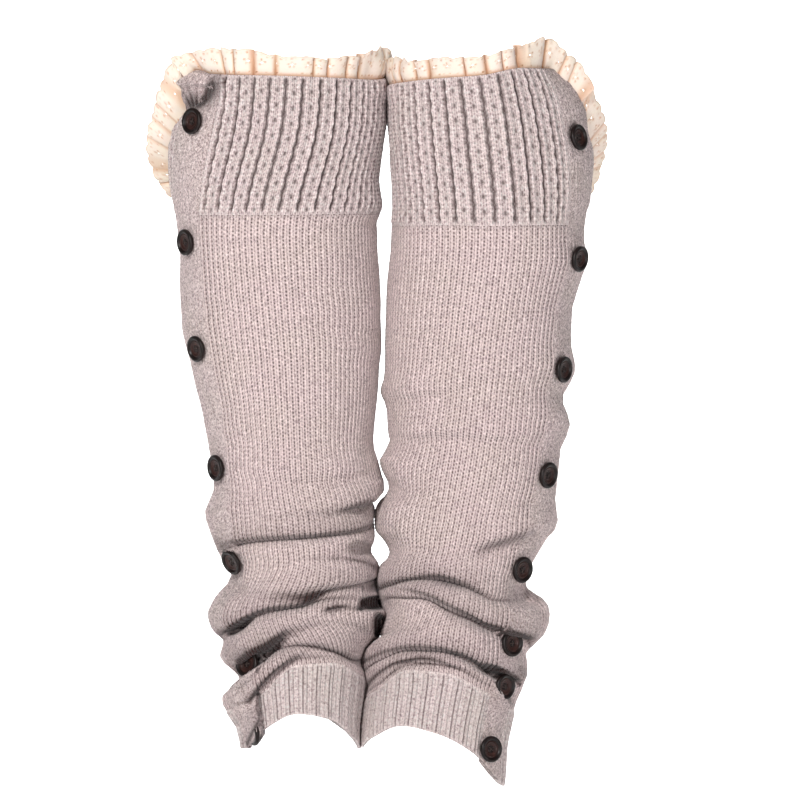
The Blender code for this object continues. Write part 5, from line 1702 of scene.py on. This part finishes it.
def thread_mesh():
    """Two bars of thread that cross the middle from hole to hole."""
    points, faces = [], []
    for turn in (45, 135):
        a = math.radians(turn)
        d = np.array([math.cos(a), math.sin(a), 0.0])
        side = np.array([-math.sin(a), math.cos(a), 0.0])
        up = np.array([0.0, 0.0, 1.0])
        half = HOLE_AT * math.sqrt(2)
        steps, round_ = 12, 8
        start = len(points)
        lift = 0.14 if turn == 45 else 0.34
        for i in range(steps + 1):
            x = -half + 2 * half * i / steps
            z = 0.50 * BUTTON_THICK + lift - 0.9 * (abs(x) / half) ** 6
            for k in range(round_):
                w = 2 * math.pi * k / round_
                points.append(d * x + side * 0.32 * math.cos(w) + up * (z + 0.2 * math.sin(w)))
        for i in range(steps):
            for k in range(round_):
                m = (k + 1) % round_
                p = start + i * round_
                q = p + round_
                faces.append((p + k, p + m, q + m, q + k))
        faces.append(tuple(start + k for k in range(round_))[::-1])
        faces.append(tuple(start + steps * round_ + k for k in range(round_)))
    return np.array(points), faces


def button_pose(name, cuff):
    """Back centre, across, up and normal of a button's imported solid."""
    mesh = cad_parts[name].data
    points = np.empty(len(mesh.vertices) * 3)
    mesh.vertices.foreach_get("co", points)
    points = np.unique(np.round(points.reshape(-1, 3) / MM, 3), axis=0)
    centre = points.mean(axis=0)
    _, _, axes = np.linalg.svd(points - centre)
    normal = axes[2]
    left = np.interp(centre[2], cuff.heights, cuff.edges[0])
    right = np.interp(centre[2], cuff.heights, cuff.edges[1])
    if (centre[0] - (left + right) / 2) * normal[0] + centre[1] * normal[1] < 0:
        normal = -normal
    low = ((points - centre) @ normal).min()
    across = np.cross((0.0, 0.0, 1.0), normal)
    across /= np.linalg.norm(across)
    return centre + normal * low, across, np.cross(normal, across), normal


def main():
    knit = yarn("knit")
    # The band's and hem's copies of the yarn are lighter than the body's: a painted highlight on their raised ribs,
    # beside the painted shade in their grooves.
    rib = yarn("ribbed_knit", painted_gap_shade=0.45, body=(233, 213, 212))
    hem_knit = yarn("hem_knit", painted_gap_shade=0.3, body=(242, 225, 223), pits=False)
    strip = yarn("placket_knit", painted_gap_shade=0.6, body=(216, 196, 195), pits=False, speckle=1.0)
    lace = lace_cotton()
    dark = horn()
    cotton = thread()
    pieces = []

    def declare(made, nodes, size=None, held="stretched", area=None):
        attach(made, "root")
        if nodes:
            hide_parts(*nodes)
        if size:
            print("sheet", made.name, [round(x, 4) for x in size], held, area)
        pieces.append(made)
        return made

    for side in ("left", "right"):
        cuff = Cuff(side)
        cuff.buttons = []
        for number in range(1, (7 if side == "left" else 8) + 1):
            place, _, _, normal = button_pose(f"{side}_button_{number}", cuff)
            cuff.buttons.append((place, normal, COVERS.get(f"{side}_button_{number}", ())))
        names = cuff.names
        top = (names[0], names[1], 0.0)
        band_end = (names[0], names[1], 1.0)
        seam = (names[-2], names[-1], HEM_START)
        hem = (names[-2], names[-1], 1.0)
        start, end = PLACKET_HALF + 0.02, 360.0 - BACK_END

        # Band: the grooves follow the table and carry on evenly behind.
        known = np.array(GROOVES[side])
        pitch = (known[-1] - known[0]) / (len(known) - 1)
        more = int((end - known[-1]) / pitch) + 1
        stops = np.concatenate([[known[0] - pitch], known, known[-1] + pitch * np.arange(1, more + 1)])
        columns = []
        per = 15
        for k in range(len(stops) - 1):
            here = per if stops[k] < 200.0 else 9
            columns.append(stops[k] + (stops[k + 1] - stops[k]) * np.arange(here) / here)
        columns = np.concatenate(columns)
        columns = columns[(columns > start + 0.2) & (columns < end - 0.2)]
        columns = np.concatenate([[start], columns, [end]])

        def rib_of(around):
            return np.interp(around, stops, np.arange(len(stops)))

        def band_relief(around, v, length):
            fade = step(0.0, 1.6, v) * (1 - step(length - 3.2, length - 0.3, v))
            edge = step(0.5, 3.0, around - PLACKET_HALF)
            roll = -0.7 * (1 - ease(v / 1.2))
            fringe = 0.25 * np.sin(2 * math.pi * rib_of(around) * 4) * (1 - step(1.0, 4.0, v))
            relief, deep = cable_relief(rib_of(around), v, fade * edge)
            # The second value is painted shade, with more along the band's lower edge.
            return relief + roll + fringe, deep + 0.16 * bell((length - 0.6 - v) / 0.9)

        made, across, tall = knit_piece(
            f"{side}_band_knit", cuff, columns, top, band_end, 140,
            layer_level(columns), BAND_THICK - 0.4, band_relief,
            lambda around, v: (rib_of(around) * 4.0 + 0.5, v / COURSE), rib,
        )
        band = declare(made, [f"{side}_top_band"], (across, tall))

        # Body: four columns to a wale and two rows to a course.
        # Behind, three columns to a wale are enough.
        wales = np.arange(math.ceil((start + 0.3) / (WALE / 4)), 4 * 54) * (WALE / 4)
        more = np.arange(3 * 54, int((end - 0.3) / (WALE / 3)) + 1) * (WALE / 3)
        columns = np.concatenate([[start], wales, more, [end]])
        length = even_rows(cuff, columns[::16], band_end, seam, 4)[2].mean()
        rows = 2 * int(round(length / COURSE))

        def body_relief(around, v, length):
            near = 1.0 - step(14.0, 30.0, around - 2.0)
            edge = step(0.0, 1.2, around - PLACKET_HALF)
            count = v / length * (rows / 2)
            relief, deep = stitch_relief(around / WALE, count, near)
            ends = step(0.0, 1.5, v) * (1 - step(length - 1.5, length, v))
            # The second value is painted shade, with more along the top, under the band.
            return relief * edge * ends, deep * edge + 0.14 * bell((v - 0.5) / 0.9)

        made, across, tall = knit_piece(
            f"{side}_body_knit", cuff, columns, band_end, seam, rows,
            layer_level(columns), BODY_THICK - 0.3, body_relief,
            lambda around, v: (around / WALE, v / length * (rows / 2)), knit,
            (0.01, 0.01),
        )
        body = declare(made, [f"{side}_body"], (across, tall), "gathered")

        # Hem: pairs of ribs.
        columns = np.linspace(start, end, 9)
        angle, height, _ = even_rows(cuff, columns, seam, hem, 4)
        mid = cuff.base(angle[2], height[2])
        girth = np.linalg.norm(np.diff(mid, axis=0), axis=-1).sum()
        pairs = int(round(girth / HEM_RIB))
        columns = np.linspace(start, end, pairs * 10 + 1)

        def pair_of(around):
            return (around - start) / (end - start) * pairs

        def rib_relief(around, v, length):
            ends = step(0.0, 2.0, v) * (1 - 0.6 * step(length - 1.6, length, v))
            edge = step(0.0, 1.2, around - PLACKET_HALF)
            relief, deep = hem_relief(pair_of(around), v)
            return relief * ends * edge, deep * ends * edge

        made, across, tall = knit_piece(
            f"{side}_hem_knit", cuff, columns, seam, hem, 56,
            layer_level(columns), HEM_THICK - 0.3, rib_relief,
            lambda around, v: (pair_of(around) * 3.0, v / 2.0), hem_knit,
            (0.01, 0.0),
        )
        declare(made, [f"{side}_hem_rib"], (across, tall), "stretched")

        # The two plackets.
        columns = np.linspace(-PLACKET_HALF, PLACKET_HALF, 49)

        def strip_relief(around, v, length):
            edge = PLACKET_HALF - np.abs(around)
            back = -0.9 * (1 - ease(edge / 1.1)) * (around < 0)
            grain = 0.16 * np.cos(2 * math.pi * around / 3.4) + 0.06 * np.cos(2 * math.pi * v / COURSE)
            return back + grain * ease(edge / 1.5), 0.0 * edge

        strip_piece, across, tall = knit_piece(
            f"{side}_button_strip", cuff, columns, top, hem, 290, 0.0 * columns,
            PLACKET_THICK - 0.3, strip_relief,
            lambda around, v: (around / 2.0 + 0.5, v / COURSE), strip,
        )
        under_columns = np.linspace(-UNDER_HALF, UNDER_HALF, 13)
        made_under, across_u, tall_u = knit_piece(
            f"{side}_under_strip", cuff, under_columns, top, hem, 190,
            0.0 * under_columns - (PLACKET_THICK + GAP), UNDER_THICK, None,
            lambda around, v: (around / 2.0, v / COURSE), strip, (0.0, 0.0), (2, 2),
        )
        under = declare(made_under, [f"{side}_under_placket"], (across_u, tall_u), "gathered")
        declare(strip_piece, [f"{side}_button_placket"], (across, tall), "gathered")

        made, wide, tall, area = make_lace(cuff, lace)
        declare(made, [f"{side}_lace_trim"], (wide, tall), "gathered", area)

        # Buttons.
        turned, faces = button_mesh()
        bars, bar_faces = thread_mesh()
        count = 7 if side == "left" else 8
        for number in range(1, count + 1):
            name = f"{side}_button_{number}"
            place, over, up, normal = button_pose(name, cuff)
            spin = math.radians(23.0 * number)
            x = over * math.cos(spin) + up * math.sin(spin)
            y = np.cross(normal, x)
            basis = np.array([x, y, normal])
            reach = np.hypot(turned[:, 0], turned[:, 1]) / (BUTTON_DIAMETER / 2)
            wear = np.stack([reach, turned[:, 2] / BUTTON_THICK], axis=-1)
            button = add_mesh(f"{name}_turned", turned @ basis + place, faces, dark, wear)
            declare(button, [name])
            made = add_mesh(f"{name}_thread", bars @ basis + place, bar_faces, cotton)
            declare(made, [])

    # Camera, as the photograph sees the pair.
    camera = bpy.data.cameras.new("camera")
    camera.lens, camera.sensor_width = 525.0, 36.0
    camera.clip_start, camera.clip_end = 0.05, 50.0
    viewer = bpy.data.objects.new("camera", camera)
    bpy.context.collection.objects.link(viewer)
    viewer.location = (0.0102, -7.02, -0.150)
    viewer.rotation_euler = (math.pi / 2, 0.0, 0.0)
    bpy.context.scene.camera = viewer

    # A plain pale sweep, far enough off to stay even.
    pale = Nodes("pale_floor", 0.95, (0.93, 0.93, 0.93))
    pale.shader.inputs["Specular IOR Level"].default_value = 0.0
    # Seen from behind, the sweep gives way, so the pair can be viewed all round.
    back_side = pale.make("ShaderNodeNewGeometry").outputs["Backfacing"]
    pale.put(pale.shader.inputs["Alpha"], pale.math("SUBTRACT", 1.0, back_side))
    floor_z, wide, near, far, bend, tall = -0.43, 6.0, -3.2, 1.6, 1.0, 3.0
    line = [(near, floor_z)]
    for k in range(17):
        a = math.pi / 2 * k / 16
        line.append((far + bend * math.sin(a), floor_z + bend * (1 - math.cos(a))))
    line.append((far + bend, tall))
    points = [(x, y, z) for y, z in line for x in (-wide, wide)]
    faces = [(2 * k, 2 * k + 1, 2 * k + 3, 2 * k + 2) for k in range(len(line) - 1)]
    sweep = add_mesh("pale_sweep", np.array(points) / MM, faces, pale.material)

    def lamp(name, where, aim, size, power, colour=(1.0, 1.0, 1.0)):
        light = bpy.data.lights.new(name, "AREA")
        light.shape = "DISK"
        light.size = size
        light.energy = power
        light.color = colour
        made = bpy.data.objects.new(name, light)
        bpy.context.collection.objects.link(made)
        made.location = where
        from mathutils import Vector

        made.rotation_euler = (Vector(aim) - Vector(where)).to_track_quat("-Z", "Y").to_euler()

    lamp("key", (-0.62, -1.64, 0.55), (0.0, 0.0, -0.18), 0.35, 25.2, (1.0, 0.985, 0.97))
    lamp("fill", (0.9, -1.95, -0.36), (0.0, 0.0, -0.2), 0.5, 19.2, (0.995, 0.985, 0.995))
    lamp("sweep_light", (0.0, 1.4, 1.8), (0.0, 2.8, -0.1), 1.6, 120.0)

    world = bpy.data.worlds.new("soft_room")
    bpy.context.scene.world = world
    world.use_nodes = True
    world.node_tree.nodes["Background"].inputs[0].default_value = (1.0, 1.0, 1.0, 1.0)
    world.node_tree.nodes["Background"].inputs[1].default_value = 0.17
    bpy.context.scene.view_settings.view_transform = "Standard"


main()
